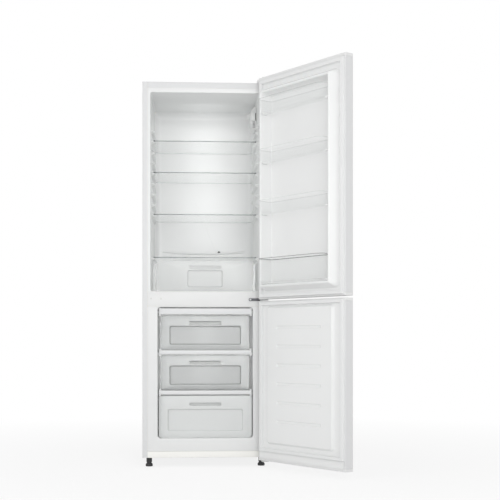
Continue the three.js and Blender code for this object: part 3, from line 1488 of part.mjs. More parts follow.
stripTops.forEach((top, i) => {
  add(`evaporator_coil_${i + 1}`, evaporatorCoil(top, COIL_RUN_COUNTS[i]), aluminium);
  add(`evaporator_strip_${i + 1}`, frontStrip(top, stripBottoms[i]), whitePlastic);
});
[0, 1].forEach((i) => {
  const solid = upperFreezerDrawer(stripTops[i + 1], stripBottoms[i]);
  add(`freezer_drawer_${i + 1}`, solid, clearPlastic);
});
add("freezer_drawer_3", lowerFreezerDrawer(), clearPlastic);

add("lamp_housing", lampHousing(), whitePlastic);
add("lamp_lens", lampLens(), clearPlastic);
add("thermostat_knob", thermostatKnob(), whitePlastic);
add("light_switch_button", lightSwitchButton(), whitePlastic);

const upperDoor = openDoor();
const upperSpan = [upperDoorBottom, doorTop];
add("upper_door_skin", doorSkin(upperSpan), whiteSteel, upperDoor);
add("upper_door_foam", doorFoam(upperSpan, dyke, (by) => [recess(by)]), foamFill, upperDoor);
add("upper_door_lining", upperLining(), linerPlastic, upperDoor);
add(
  "upper_door_gasket",
  gasket([upperDoorBottom + UPPER_GASKET_BOTTOM, doorTop - UPPER_GASKET_TOP]),
  rubber,
  upperDoor,
);
add("upper_door_top_cap", doorCap([doorTop - CAP_HEIGHT, doorTop]), whitePlastic, upperDoor);
add(
  "upper_door_bottom_cap",
  doorCap([upperDoorBottom, upperDoorBottom + CAP_HEIGHT]),
  whitePlastic,
  upperDoor,
);
bins.forEach((bin) => add(bin.name, doorBin(bin), clearPlastic, upperDoor));

const lowerDoor = openDoor();
const lowerSpan = [doorBottom, lowerDoorTop];
add("lower_door_skin", doorSkin(lowerSpan), whiteSteel, lowerDoor);
add("lower_door_foam", doorFoam(lowerSpan, pad, grooves), foamFill, lowerDoor);
add("lower_door_lining", doorLining(lowerSpan, pad, grooves, 0), linerPlastic, lowerDoor);
add(
  "lower_door_gasket",
  gasket([doorBottom + LOWER_GASKET_BOTTOM, lowerDoorTop - LOWER_GASKET_TOP]),
  rubber,
  lowerDoor,
);
add("lower_door_top_cap", doorCap([lowerDoorTop - CAP_HEIGHT, lowerDoorTop]), whitePlastic, lowerDoor);
add("lower_door_bottom_cap", doorCap([doorBottom, doorBottom + CAP_HEIGHT]), whitePlastic, lowerDoor);

add("top_hinge", topHinge(), zincSteel);
add("top_hinge_cover", hingeCover(), whitePlastic);
add("middle_hinge", middleHinge(), darkSteel);
add("bottom_hinge", bottomHinge(), zincSteel);

add("front_foot_left", levellingFoot(-footX), blackPlastic);
add("front_foot_right", levellingFoot(footX), blackPlastic);
add("rear_roller_left", rearRoller(-1), blackPlastic);
add("rear_roller_right", rearRoller(1), blackPlastic);
add("compressor_rail", compressorRail(), zincSteel);
add("compressor", compressor(), blackPaint);
add("start_relay", startRelay(), blackPlastic);
add("mains_inlet", mainsInlet(), blackPlastic);
add("evaporating_tray", evaporatingTray(), blackPlastic);
add("condenser", condenser(), blackPaint);
add("suction_line", suctionLine(), copper);

const span = new THREE.Box3().setFromObject(fridge);
const middle = span.getCenter(new THREE.Vector3());
fridge.position.set(-middle.x, -middle.y, 0);

export default fridge;
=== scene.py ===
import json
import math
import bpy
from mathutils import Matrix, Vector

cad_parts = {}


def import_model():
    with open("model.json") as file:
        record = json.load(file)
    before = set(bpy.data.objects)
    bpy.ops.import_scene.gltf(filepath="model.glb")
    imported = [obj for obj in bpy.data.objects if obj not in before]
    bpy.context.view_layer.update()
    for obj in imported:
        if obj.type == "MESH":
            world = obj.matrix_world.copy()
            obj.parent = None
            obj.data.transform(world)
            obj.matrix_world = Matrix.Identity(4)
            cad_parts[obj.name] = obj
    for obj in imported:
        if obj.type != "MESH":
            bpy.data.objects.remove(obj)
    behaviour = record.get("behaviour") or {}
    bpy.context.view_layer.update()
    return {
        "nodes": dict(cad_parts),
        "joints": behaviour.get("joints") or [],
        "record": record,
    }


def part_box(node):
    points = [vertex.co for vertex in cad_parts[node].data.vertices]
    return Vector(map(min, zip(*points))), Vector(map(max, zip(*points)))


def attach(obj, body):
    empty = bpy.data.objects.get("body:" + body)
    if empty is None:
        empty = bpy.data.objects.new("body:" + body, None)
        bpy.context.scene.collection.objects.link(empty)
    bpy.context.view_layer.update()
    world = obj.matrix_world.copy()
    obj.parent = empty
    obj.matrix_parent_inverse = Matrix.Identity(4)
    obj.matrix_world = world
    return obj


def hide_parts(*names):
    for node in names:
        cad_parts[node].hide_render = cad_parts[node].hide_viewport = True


bl_info = {
    "name": "Bottom Freezer Refrigerator",
    "version": (1, 0, 0),
    "blender": (4, 5, 0),
    "location": "3D View > Sidebar > Refrigerator",
    "description": "Dresses an open two-door refrigerator, inside and out",
    "category": "Object",
}

from typing import NamedTuple

import bmesh
import bpy
import numpy as np
from bpy.props import FloatProperty, FloatVectorProperty, IntProperty, PointerProperty
from mathutils import Vector

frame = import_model()

# ---- the cabinet's frame
# Shapes are drawn in millimetres: x from the cabinet's middle, y back from its front, z up from
# the floor, with both doors closed. Door pieces then swing open about the hinge line.

MM = 0.001
WELD = 0.001 * MM  # points nearer than this, in metres, are one point
_left, _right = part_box("side_panel_left"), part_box("side_panel_right")
ORIGIN = np.array([(_left[0].x + _right[1].x) / 2, _left[0].y, 0.0])
_hinge = next(joint for joint in frame["joints"] if joint["name"] == "upper_door_hinge")
PIN = np.array(_hinge["pos_m"])
OPEN = -math.radians(_hinge["range_deg"][0])
DOOR_BINS = ("door_bin_top", "door_bin_upper", "door_bin_lower", "bottle_bin")
DOOR_BODIES = {"upper_door", "lower_door", *DOOR_BINS}
NODE_BODY = {
    node: body for body, nodes in frame["record"]["behaviour"]["bodies"].items() for node in nodes
}


def swung(points, angle):
    """Points in metres turned about the vertical hinge line by an angle."""
    cos, sin = math.cos(angle), math.sin(angle)
    away = points[:, :2] - PIN[:2]
    turned = points.copy()
    turned[:, 0] = PIN[0] + away[:, 0] * cos - away[:, 1] * sin
    turned[:, 1] = PIN[1] + away[:, 0] * sin + away[:, 1] * cos
    return turned


def placed_on(points, body):
    """Cabinet millimetres to the part's metres; a door's points are swung open."""
    placed = points * MM + ORIGIN
    return swung(placed, OPEN) if body in DOOR_BODIES else placed


def span(node):
    """A node's ranges in x, y and z, in cabinet millimetres with the doors closed."""
    vertices = frame["nodes"][node].data.vertices
    flat = np.zeros(len(vertices) * 3)
    vertices.foreach_get("co", flat)
    points = flat.reshape(-1, 3)
    if NODE_BODY[node] in DOOR_BODIES:
        points = swung(points, -OPEN)
    points = (points - ORIGIN) / MM
    return tuple(zip(points.min(0), points.max(0)))


# ---- shells worked out with numpy
# A shell is (points, faces). A grid of points has rows and columns.

POLE = 0.02  # the least radius of a turned shape, so that the ring round its pole stays open


def shell(grid, wrap=True, caps=(True, True), loop=False, flip=False):
    """Quads between a grid's rows; wrap closes each row, loop joins the last row to the first,
    and caps fill the first and last row."""
    rows, columns = grid.shape[:2]
    i = np.arange(rows if loop else rows - 1)[:, None]
    j = np.arange(columns if wrap else columns - 1)[None, :]
    below, above = i * columns, ((i + 1) % rows) * columns
    right = (j + 1) % columns
    quads = np.stack([below + j, below + right, above + right, above + j], axis=-1).reshape(-1, 4)
    faces = quads.tolist()
    if wrap and not loop and caps[0]:
        faces.append(list(range(columns))[::-1])
    if wrap and not loop and caps[1]:
        faces.append([(rows - 1) * columns + k for k in range(columns)])
    if flip:
        faces = [face[::-1] for face in faces]
    return grid.reshape(-1, 3), faces


def merged(*shells):
    """Several shells as one."""
    points, faces, start = [], [], 0
    for shell_points, shell_faces in shells:
        points.append(shell_points)
        faces += [[start + k for k in face] for face in shell_faces]
        start += len(shell_points)
    return np.concatenate(points), faces


def copies(one, offsets):
    """A shell repeated at each offset."""
    return merged(*[(one[0] + np.asarray(offset, float), one[1]) for offset in offsets])


def mirrored(one):
    """A shell's mirror image left to right, with its faces turned back."""
    points, faces = one
    return points * [-1, 1, 1], [face[::-1] for face in faces]


def ordered(first, second, level, order):
    """Three coordinate arrays stacked so that they stand for the axes named in order."""
    parts = dict(zip(order, np.broadcast_arrays(first, second, level)))
    return np.stack([parts["x"], parts["y"], parts["z"]], axis=-1)


def smooth_step(share):
    """The step s^2 (3 - 2 s), flat below s = 0 and above s = 1."""
    share = np.clip(share, 0, 1)
    return share * share * (3 - 2 * share)


def unit(vectors):
    """Vectors at length one."""
    return vectors / np.maximum(np.linalg.norm(vectors, axis=-1, keepdims=True), 1e-9)


def arc(center, radius, start, stop, steps=6):
    """Points of a circle's arc: center + radius (cos t, sin t), t in degrees."""
    t = np.radians(np.linspace(start, stop, steps + 1))
    return np.stack([center[0] + radius * np.cos(t), center[1] + radius * np.sin(t)], axis=-1)


def filleted(path, radii, steps=6, closed=False):
    """A polyline whose corners are rounded by arcs tangent to both sides.

    The arc's ends lie r / tan(half the corner's angle) from the corner."""
    path = np.asarray(path, float)
    radii = np.broadcast_to(radii, len(path))
    rounded = []
    for k, (corner, radius) in enumerate(zip(path, radii)):
        inner = closed or 0 < k < len(path) - 1
        if not inner or radius <= 0:
            rounded.append(corner[None])
            continue
        before, after = unit(path[k - 1] - corner), unit(path[(k + 1) % len(path)] - corner)
        half = math.acos(np.clip(before @ after, -1, 1)) / 2
        center = corner + unit(before + after) * radius / math.sin(half)
        start = corner + before * radius / math.tan(half) - center
        end = corner + after * radius / math.tan(half) - center
        turn = math.atan2(start[0] * end[1] - start[1] * end[0], start @ end)
        t = math.atan2(start[1], start[0]) + np.linspace(0, turn, steps + 1)
        rounded.append(center + radius * np.stack([np.cos(t), np.sin(t)], axis=-1))
    return np.concatenate(rounded)


def offset(path, distance, closed=False):
    """A polyline moved to its left by a distance, each point along its mitre."""
    path = np.asarray(path, float)
    along = np.roll(path, -1, axis=0) - path
    if not closed:
        along[-1] = along[-2]
    along = unit(along)
    before = np.roll(along, 1, axis=0)
    if not closed:
        before[0] = along[0]
    left, left_before = (np.stack([-way[:, 1], way[:, 0]], axis=-1) for way in (along, before))
    mitre = left + left_before
    mitre /= (mitre * left).sum(1, keepdims=True)
    return path + mitre * distance


def sheet_section(path, thickness):
    """The closed outline of a sheet that follows a path, its thickness on the left."""
    return np.concatenate([path, offset(path, thickness)[::-1]])


def prism(section, levels, order):
    """A closed section carried along a straight axis: levels are (inset, place) rows."""
    rings = [
        ordered(*offset(section, inset, closed=True).T, place, order) for inset, place in levels
    ]
    return shell(np.stack(rings))


def rect_rings(a, b, radius, profile, order, steps=6, least=0.05):
    """Rounded rectangles, one for each (inset, level) row of a profile.

    A corner's arc has radius r = max(radius - inset, least) round a centre that lies inset + r
    from both sides. radius is one value, or one for each corner, counterclockwise."""
    profile = np.asarray(profile, float)
    inset = profile[:, 0, None, None]
    r = np.maximum(np.broadcast_to(np.asarray(radius, float), 4)[:, None] - inset, least)
    t = np.radians(np.array([[180], [270], [0], [90]]) + np.linspace(0, 90, steps + 1))
    inward_a, inward_b = np.array([[1, -1, -1, 1], [1, 1, -1, -1]])[:, :, None]
    side_a, side_b = np.array([[a[0], a[1], a[1], a[0]], [b[0], b[0], b[1], b[1]]])[:, :, None]
    first = side_a + inward_a * (inset + r) + r * np.cos(t)
    second = side_b + inward_b * (inset + r) + r * np.sin(t)
    rows = len(profile)
    return ordered(first.reshape(rows, -1), second.reshape(rows, -1), profile[:, 1:], order)


def rounded_ends(low, high, radius, steps=4):
    """Profile rows of a block whose two ends are rounded by quarter circles."""
    first = arc((radius, low + radius), -radius, 90, 0, steps)
    last = arc((radius, high - radius), -radius, 0, -90, steps)
    return np.concatenate([first, last])


def block(x, y, z, corner=1.0, edge=0.5, along="z", steps=4):
    """A block with rounded upright corners and rounded ends along one axis."""
    sides = {"x": x, "y": y, "z": z}
    first, second = [axis for axis in "xyz" if axis != along]
    profile = rounded_ends(*sides[along], edge, 3)
    rings = rect_rings(sides[first], sides[second], corner, profile, first + second + along, steps)
    return shell(rings)


def revolved(profile, center, axis="z", sides=32, squash=(1.0, 1.0)):
    """A profile of (radius, height) rows turned about an axis through a point."""
    profile = np.asarray(profile, float)
    t = np.linspace(0, 2 * np.pi, sides, endpoint=False)
    radius = np.maximum(profile[:, 0], POLE)[:, None]
    first = radius * np.cos(t) * squash[0]
    second = radius * np.sin(t) * squash[1]
    order = {"x": "yzx", "y": "zxy", "z": "xyz"}[axis]
    return shell(ordered(first, second, profile[:, 1][:, None], order) + np.asarray(center, float))


def swept(section, path, normal):
    """A closed section carried along a path: a section point (u, v) goes to
    path + u side + v up, where side is normal crossed with the path's direction and up is the
    direction crossed with side."""
    path = np.asarray(path, float)
    ahead, behind = np.vstack([path[1:], path[-1:]]), np.vstack([path[:1], path[:-1]])
    along = unit(unit(path - behind) + unit(ahead - path))
    side = unit(np.cross(normal, along))
    up = np.cross(along, side)
    section = np.asarray(section, float)
    grid = path[:, None] + section[None, :, :1] * side[:, None] + section[None, :, 1:] * up[:, None]
    return shell(grid)


def circle(radius, sides=10):
    """A circle's points."""
    t = np.linspace(0, 2 * np.pi, sides, endpoint=False)
    return radius * np.stack([np.cos(t), np.sin(t)], axis=-1)


def tube(path, radius, normal, sides=10):
    """A round bar along a path."""
    return swept(circle(radius, sides), path, normal)


def serpentine(half, start, pitch, runs, steps=12):
    """A line to and fro across, in half circles of diameter pitch at alternate ends."""
    points = [np.array([[-half, start]])]
    for run in range(runs - 1):
        side = 1 if run % 2 == 0 else -1
        level = start + run * pitch
        turn = arc((0, level + pitch / 2), pitch / 2, -90, 90, steps)
        points.append(np.stack([side * (half + turn[:, 0]), turn[:, 1]], axis=-1))
    last = half if runs % 2 else -half
    points.append(np.array([[last, start + (runs - 1) * pitch]]))
    return np.concatenate(points)


def screw(place, axis, radius=4.0, height=2.2):
    """A dome-headed screw with a sunk middle; axis is "+x", "-y" and so on."""
    out = 1 if axis[0] == "+" else -1
    dome = arc((0, 0), radius, 0, 68, 5) * [1, height / radius]
    bowl = np.array([[radius * 0.3, height * 0.55], [0.0, height * 0.5]])
    profile = np.concatenate([[[radius, -0.3]], dome, bowl]) * [1, out]
    return revolved(profile, place, axis[1], 20)


# ---- pieces


def add_object(name, data):
    """A new object at the origin, linked to the scene."""
    made = bpy.data.objects.new(name, data)
    bpy.context.scene.collection.objects.link(made)
    return made


def turn_out(mesh):
    """Merges a closed mesh's doubles and turns its faces outwards."""
    solid = bmesh.new()
    solid.from_mesh(mesh)
    bmesh.ops.remove_doubles(solid, verts=solid.verts, dist=WELD)
    bmesh.ops.recalc_face_normals(solid, faces=solid.faces)
    solid.to_mesh(mesh)
    solid.free()


def shade_smooth(mesh, angle=32.0):
    """Smooth shading that keeps an edge crisp where its faces meet at more than an angle."""
    mesh.polygons.foreach_set("use_smooth", np.ones(len(mesh.polygons), bool))
    mesh.set_sharp_from_angle(angle=math.radians(angle))


def piece(name, body, shells, finishes, replaces=(), thickness=0.0, smooth=32.0):
    """One object from shells, each with its own finish, that rides on a body.

    A shell that is to be thickened faces its visible side; every other one is closed."""
    mesh = bpy.data.meshes.new(name)
    points, faces = merged(*shells)
    mesh.from_pydata(placed_on(points, body), [], faces)
    finishes = finishes if isinstance(finishes, (list, tuple)) else [finishes] * len(shells)
    used = list(dict.fromkeys(finishes))
    for label in used:
        mesh.materials.append(FINISHES[label])
    index = [used.index(label) for one, label in zip(shells, finishes) for _ in one[1]]
    mesh.polygons.foreach_set("material_index", np.array(index, np.int32))
    if not thickness:
        turn_out(mesh)
    shade_smooth(mesh, smooth)
    made = add_object(name, mesh)
    if thickness:
        wall = made.modifiers.new("wall", "SOLIDIFY")
        wall.thickness = thickness * MM
        wall.offset = -1
        wall.use_even_offset = False
    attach(made, body)
    if replaces:
        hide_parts(*replaces)
    return made


def carve(made, body, *cutters):
    """Cuts closed shells out of a piece and keeps the result as its mesh."""
    for points, faces in cutters:
        mesh = bpy.data.meshes.new("cutter")
        mesh.from_pydata(placed_on(points, body), [], faces)
        turn_out(mesh)
        tool = add_object("cutter", mesh)
        cut = made.modifiers.new("slot", "BOOLEAN")
        cut.operation = "DIFFERENCE"
        cut.solver = "EXACT"
        cut.object = tool
        bpy.context.view_layer.update()
        graph = bpy.context.evaluated_depsgraph_get()
        result = bpy.data.meshes.new_from_object(made.evaluated_get(graph))
        made.modifiers.clear()
        old, made.data = made.data, result
        bpy.data.objects.remove(tool)
        for spent in (old, mesh):
            bpy.data.meshes.remove(spent)
    shade_smooth(made.data)


EVERYWHERE = (-math.inf, math.inf)


def paint(made, label, x=EVERYWHERE, y=EVERYWHERE, z=EVERYWHERE):
    """Gives a finish to the faces whose middles lie between limits, in cabinet millimetres."""
    mesh = made.data
    count = len(mesh.polygons)
    middles, index = np.zeros(count * 3), np.zeros(count, np.int32)
    mesh.polygons.foreach_get("center", middles)
    mesh.polygons.foreach_get("material_index", index)
    mesh.materials.append(FINISHES[label])
    middles = (middles.reshape(-1, 3) - ORIGIN) / MM
    low, high = np.transpose([x, y, z])
    index[((middles > low) & (middles < high)).all(1)] = len(mesh.materials) - 1
    mesh.polygons.foreach_set("material_index", index)


# ---- finishes

FINISHES = {}
MOULDED = {"grain": 1500, "bump": 0.08}
SMOOTH = {"grain": 1500, "bump": 0.06}
DULL = {"grain": 900, "bump": 0.1, "shade": 0.1}
BIN_WALL = {"grain": 120, "bump": 0.03}
LINER_FACE = {"grain": 90, "depth": 0.001, "shade": 0.02, "patch": 4}
# A word stands for the user's colour or cover of that name, a number after it for a share of the
# colour.
LOOKS = {
    "white_coat": (
        "white_steel", "coat", 0.3,
        {"grain": 700, "shade": 0.015, "Coat Weight": 0.15, "Coat Roughness": 0.2},
    ),
    "white_moulding": ("white_plastic", "moulding", 0.38, {**MOULDED, "shade": 0.02}),
    "plinth_moulding": ("white_plastic", (0.94, 0.935, 0.90), 0.42, MOULDED),
    "strip_moulding": ("white_plastic", (0.74, 0.745, 0.75), 0.3, {**SMOOTH, "shade": 0.01}),
    "plug_moulding": ("white_plastic", (0.70, 0.70, 0.69), 0.4, {**SMOOTH, "shade": 0.02}),
    "liner_sheet": ("liner_plastic", "liner", 0.26, LINER_FACE),
    # painted shade: the flange's front face takes a darker share of the liner colour
    "liner_flange": ("liner_plastic", ("liner", 0.91), 0.26, LINER_FACE),
    "foam": (
        "insulation_foam", (0.84, 0.76, 0.5), 0.9,
        {"grain": 600, "bump": 0.5, "depth": 0.001, "shade": 0.12},
    ),
    "zinc": (
        "zinc_steel", (0.62, 0.63, 0.62), 0.36,
        {"grain": 250, "shade": 0.12, "patch": 60, "Metallic": 0.9},
    ),
    "copper_pipe": (
        "copper", (0.72, 0.34, 0.19), 0.3,
        {"grain": 300, "shade": 0.25, "patch": 40, "Metallic": 1.0},
    ),
    "bare_aluminium": (
        "aluminium_tube", (0.72, 0.73, 0.74), 0.38,
        {"shade": 0.08, "Metallic": 0.85},
    ),
    "black_enamel": (
        "black_paint", (0.016, 0.016, 0.018), 0.33,
        {"grain": 500, "bump": 0.08, "shade": 0.1},
    ),
    "black_moulding": ("black_plastic", (0.03, 0.03, 0.032), 0.55, {**DULL, "bump": 0.15}),
    "shadow_line": ("black_plastic", (0.05, 0.05, 0.055), 0.7, DULL),
    "seal": ("gasket_rubber", (0.84, 0.845, 0.845), 0.6, {**DULL, "shade": 0.05}),
    "buffer_rubber": ("gasket_rubber", (0.16, 0.165, 0.17), 0.6, DULL),
    "glass_face": (
        "glass", (0.80, 0.86, 0.84), 0.03,
        {"bump": 0.0, "shade": 0.02, "Alpha": "glass_cover"},
    ),
    "glass_edge": ("glass", "glass_edge", 0.12, {"bump": 0.01, "shade": 0.2, "Alpha": 0.7}),
    "glass_side": ("glass", (0.55, 0.60, 0.59), 0.12, {"bump": 0.01, "shade": 0.1, "Alpha": 0.35}),
    "clear_moulding": ("clear_plastic", "clear", 0.12, {**BIN_WALL, "Alpha": "clear_cover"}),
    # The next two are painted shade: darker, denser copies of the bins' clear plastic on their
    # rolled lips.
    "clear_rim": ("clear_plastic", ("clear", 0.35), 0.2, {**BIN_WALL, "shade": 0.05, "Alpha": 0.6}),
    "bin_rim": ("clear_plastic", (0.72, 0.74, 0.735), 0.2, {**BIN_WALL, "Alpha": 0.2}),
    "crisper_front": ("clear_plastic", (0.84, 0.85, 0.845), 0.2, {"grain": 300, "Alpha": 0.36}),
    "drawer_front": ("clear_plastic", (0.74, 0.755, 0.75), 0.2, {"grain": 300, "Alpha": 0.42}),
    # The next two are painted shade: darker copies of the clear drawer's plastic, on the dish's
    # sides and grip hood, and on the dish's floor.
    "drawer_edge": ("clear_plastic", (0.30, 0.31, 0.305), 0.2, {"grain": 300, "Alpha": 0.7}),
    "drawer_dish": ("clear_plastic", (0.60, 0.612, 0.608), 0.2, {"grain": 300, "Alpha": 0.42}),
    "clear_tub": ("clear_plastic", (0.84, 0.855, 0.85), 0.2, {"grain": 300, "Alpha": 0.12}),
    # painted shade: a darker, denser copy of the clear plastic in the grip pocket behind the slot
    "grip_pocket": ("clear_plastic", (0.69, 0.70, 0.695), 0.25, {"grain": 300, "Alpha": 0.85}),
    "frosted_front": (
        "clear_plastic", (0.88, 0.895, 0.89), 0.35,
        {"grain": 700, "bump": 0.1, "shade": 0.04, "Alpha": "frosted_cover"},
    ),
    "lens": (
        "clear_plastic", (0.96, 0.97, 0.96), 0.15,
        {"grain": 300, "shade": 0.02, "Alpha": 0.9},
    ),
}
# black that paints shade on the middle hinge's flange; bare plate colour beyond it
HINGE_PAINTED_SHADE = (0.09, 0.09, 0.10)
HINGE_BARE = (0.72, 0.73, 0.73, 1.0)


class NodeTree:
    """Adds and links the nodes of one finish."""

    def __init__(self, name):
        self.material = bpy.data.materials.new(name)
        self.material.use_nodes = True
        self.tree = self.material.node_tree
        self.shader = self.tree.nodes["Principled BSDF"]
        self.place = self.tree.nodes.new("ShaderNodeTexCoord").outputs["Object"]

    def add(self, kind, inputs=(), **settings):
        """A node with its settings made, and its inputs set or linked."""
        node = self.tree.nodes.new(kind)
        for key, value in settings.items():
            setattr(node, key, value)
        for key, value in dict(inputs).items():
            if isinstance(value, bpy.types.NodeSocket):
                self.tree.links.new(value, node.inputs[key])
            else:
                node.inputs[key].default_value = value
        return node

    def noise(self, scale, detail):
        """Noise at a scale per metre."""
        inputs = {"Vector": self.place, "Scale": scale, "Detail": detail}
        return self.add("ShaderNodeTexNoise", inputs).outputs["Fac"]

    def math(self, operation, first, second):
        """One operation on two values."""
        return self.add("ShaderNodeMath", {0: first, 1: second}, operation=operation).outputs[0]

    def mix(self, share, first, second):
        """A colour that goes from the first to the second as the share goes from 0 to 1."""
        inputs = {0: share, 6: first, 7: second}
        return self.add("ShaderNodeMix", inputs, data_type="RGBA").outputs[2]

    def plug(self, socket, value):
        """Links a value to the shader."""
        self.tree.links.new(value, self.shader.inputs[socket])


def finish(
    name, color, roughness, grain=400.0, bump=0.05, depth=0.0004, shade=0.03, patch=6.0, **sockets
):
    """A shader with fine grain in its bump and roughness and slow patches in its colour.

    Bump height is noise at grain per metre; colour mixes the given one with a darker one by
    noise at patch per metre; roughness varies by a tenth with the grain."""
    made = NodeTree(name)
    for socket, value in sockets.items():
        made.shader.inputs[socket].default_value = value
    grains = made.noise(grain, 4.0)
    height = {"Strength": bump, "Distance": depth, "Height": grains}
    made.plug("Normal", made.add("ShaderNodeBump", height).outputs["Normal"])
    spread = {"Value": grains, "To Min": roughness * 0.9, "To Max": min(1.0, roughness * 1.1)}
    made.plug("Roughness", made.add("ShaderNodeMapRange", spread).outputs["Result"])
    dark = [channel * (1 - shade) for channel in color]
    made.plug("Base Color", made.mix(made.noise(patch, 2.0), (*color, 1.0), (*dark, 1.0)))
    FINISHES[name] = made.material
    return made


def chosen_color(colors, color):
    """A colour as given, or the user's colour of that name, or a share of it."""
    if isinstance(color, str):
        return tuple(getattr(colors, color))
    if isinstance(color[0], str):
        return tuple(color[1] * channel for channel in getattr(colors, color[0]))
    return color


def tint(name, description, default):
    """A colour that the user can change."""
    return FloatVectorProperty(
        name=name, description=description, subtype="COLOR", size=3, default=default
    )


def cover(name, description, default):
    """How much a see-through wall hides, from 0 to 1."""
    return FloatProperty(
        name=name, description=description, subtype="FACTOR", min=0, max=1, default=default
    )


class FridgeColors(bpy.types.PropertyGroup):
    """Colours and clearness of the finishes."""

    coat: tint("Coat", "Painted steel", (0.72, 0.724, 0.728))
    liner: tint("Liner", "Thermoformed liners", (0.86, 0.866, 0.863))
    moulding: tint("Moulding", "White plastic parts", (0.79, 0.793, 0.79))
    clear: tint("Clear", "Tint of the door bins", (0.80, 0.83, 0.82))
    glass_edge: tint("Glass edge", "Cut front edge of the shelves", (0.16, 0.19, 0.185))
    clear_cover: cover("Clear cover", "How much a door bin's wall hides", 0.045)
    frosted_cover: cover("Frosted cover", "How much a frosted front hides", 0.7)
    glass_cover: cover("Glass cover", "How much a shelf's face hides", 0.10)


class FRIDGE_OT_finishes(bpy.types.Operator):
    """Makes every finish and gives the carried-over parts theirs"""

    bl_idname = "fridge.finishes"
    bl_label = "Finishes"

    def execute(self, context):
        colors = context.scene.fridge_colors
        for label, (_, color, roughness, settings) in LOOKS.items():
            settings = {
                key: getattr(colors, value) if isinstance(value, str) else value
                for key, value in settings.items()
            }
            finish(label, chosen_color(colors, color), roughness, **settings)
        hinge_coat()
        for node, label in CARRIED_OVER.items():
            frame["nodes"][node].material_slots[0].material = FINISHES[label]
        return {"FINISHED"}


def hinge_coat():
    """The middle hinge's finish: black on its flange as painted shade, bare plate where x passes a
    limit.
    """
    made = finish("hinge_coat", HINGE_PAINTED_SHADE, 0.4, grain=500, shade=0.1, Metallic=0.6)
    # the painted shade's black, with its patches
    coat = made.shader.inputs["Base Color"].links[0].from_socket
    x = made.add("ShaderNodeSeparateXYZ", {0: made.place}).outputs["X"]
    beyond = made.math("GREATER_THAN", x, HINGE_PLATE_X * MM + float(ORIGIN[0]))
    made.plug("Base Color", made.mix(beyond, coat, HINGE_BARE))


CARRIED_OVER = {
    "cabinet_foam": "foam",
    "upper_door_foam": "foam",
    "lower_door_foam": "foam",
    "back_panel": "white_coat",
    "base_pan": "zinc",
    "compressor_rail": "zinc",
    "top_hinge": "zinc",
    "bottom_hinge": "zinc",
    "middle_hinge": "hinge_coat",
}

# ---- driving sizes


def gauge(name, description, default):
    """A small length in metres."""
    return FloatProperty(
        name=name, description=description, unit="LENGTH", precision=4, min=0, default=default
    )


class FridgeSizes(bpy.types.PropertyGroup):
    """Sizes of details that the frame doesn't hold."""

    sheet: gauge("Sheet", "Painted sheet's thickness", 0.0008)
    bend: gauge("Bend", "Outside radius of folded sheet", 0.003)
    liner: gauge("Liner", "Thickness of liners and door linings", 0.0012)
    draft: FloatProperty(name="Draft", description="Slope of a liner's walls", min=0, default=0.015)
    drawer_wall: gauge("Drawer wall", "Thickness of a drawer's wall", 0.0022)
    bin_wall: gauge("Bin wall", "Thickness of a door bin's wall", 0.002)
    wires: IntProperty(name="Wires", description="Condenser's wires on a face", min=2, default=34)


# Places and lengths in cabinet millimetres.
FRIDGE_ROOM = {"half": 240, "floor": 767, "roof": 1634, "depth": 436, "corner": 8, "rear": 30}
FREEZER_ROOM = {"half": 209, "floor": 123, "roof": 697, "depth": 415, "corner": 14, "rear": 24}
FREEZER_STEP = {"depth": 268, "top": 301}
FLANGE = (-math.inf, 1.3)  # the depth range of both liners' flanges
LEDGE_TOPS = [1116 + 46.8 * level - 4.3 for level in range(9)] + [919.7]
LEDGE_HEIGHT = 14
FRIDGE_LEDGES = {"reach": 225.4, "ends": (95, 406)}
FREEZER_LEDGES = {"reach": 198, "ends": (35, 244)}
GUTTER = {"z": 978, "sag": 10, "half": 195, "reach": 11, "height": 9}
DRAIN = {"x": 72, "z": 971, "radius": 6}
COOLING_RUNS = {1: 8, 2: 8, 3: 5}  # how often the tube of each evaporator level crosses
COIL_PITCH = 46.0
CABINET_BOTTOM, CABINET_TOP = 39, 1680
DOOR_PLANE, DOOR_FACE = -12, -57  # the doors' inner and outer face
DOOR_HALF = 275.0
UPPER_FRAME = {"x": (-241.0, 237.0), "z": (763.0, 1636.5), "recess": -27.4}
LUG_WALLS = ((-207.0, 1), (203.0, -1))  # the frame's inner walls and which way is inward
LOWER_PAD = {"x": (-213.0, 213.0), "z": (106.4, 698.0), "rise": 10, "brim": 14}
COVER_REACH = 13  # how far the hinge's cover runs on to the left of its plate
HINGE_PLATE_X = 238  # the middle hinge is painted black, as painted shade, as far as this, and bare beyond
MIDDLE_SCREW = (196.6, -5.3, 730)
BOTTOM_SCREWS = ((251, -3.3, 50), (266, -3.3, 50))
PLUG_HEIGHT = 733  # of the plugs in the crossbar's unused holes
PLUG_MARGINS = (15, 58)  # how far the plugs are from its left end
CONDENSER = {"half": 215, "low": 330.0, "high": 1590.0, "runs": 13, "wires": 150}
DRIER_X = -228


def room_half(room, y, draft):
    """Half the width of a compartment at a depth."""
    return room["half"] - draft * y


# ---- cabinet shell


class FRIDGE_OT_shell(bpy.types.Operator):
    """Side, top and plinth sheets with their folds, crossbar cover and plugs"""

    bl_idname = "fridge.shell"
    bl_label = "Cabinet shell"

    def execute(self, context):
        sheet, bend = context.scene.fridge_sizes.sheet / MM, context.scene.fridge_sizes.bend / MM
        side = side_section(sheet, bend)
        for name, section in (("left", side), ("right", side * [-1, 1])):
            node = "side_panel_" + name
            panel = prism(section, [(0, CABINET_BOTTOM), (0, CABINET_TOP)], "xyz")
            piece(node + "_sheet", "cabinet", [panel], "white_coat", [node])
        top_panel(sheet, bend)
        plinth()
        crossbar()
        return {"FINISHED"}


def side_section(sheet, bend):
    """The left panel from above: rear return, side and front edge, all one folded sheet."""
    (x0, x1), (y0, y1), _ = span("side_panel_left")
    path = filleted([(x0 + 14, y1), (x0, y1), (x0, y0), (x1, y0)], bend, 8)
    return sheet_section(path, sheet)


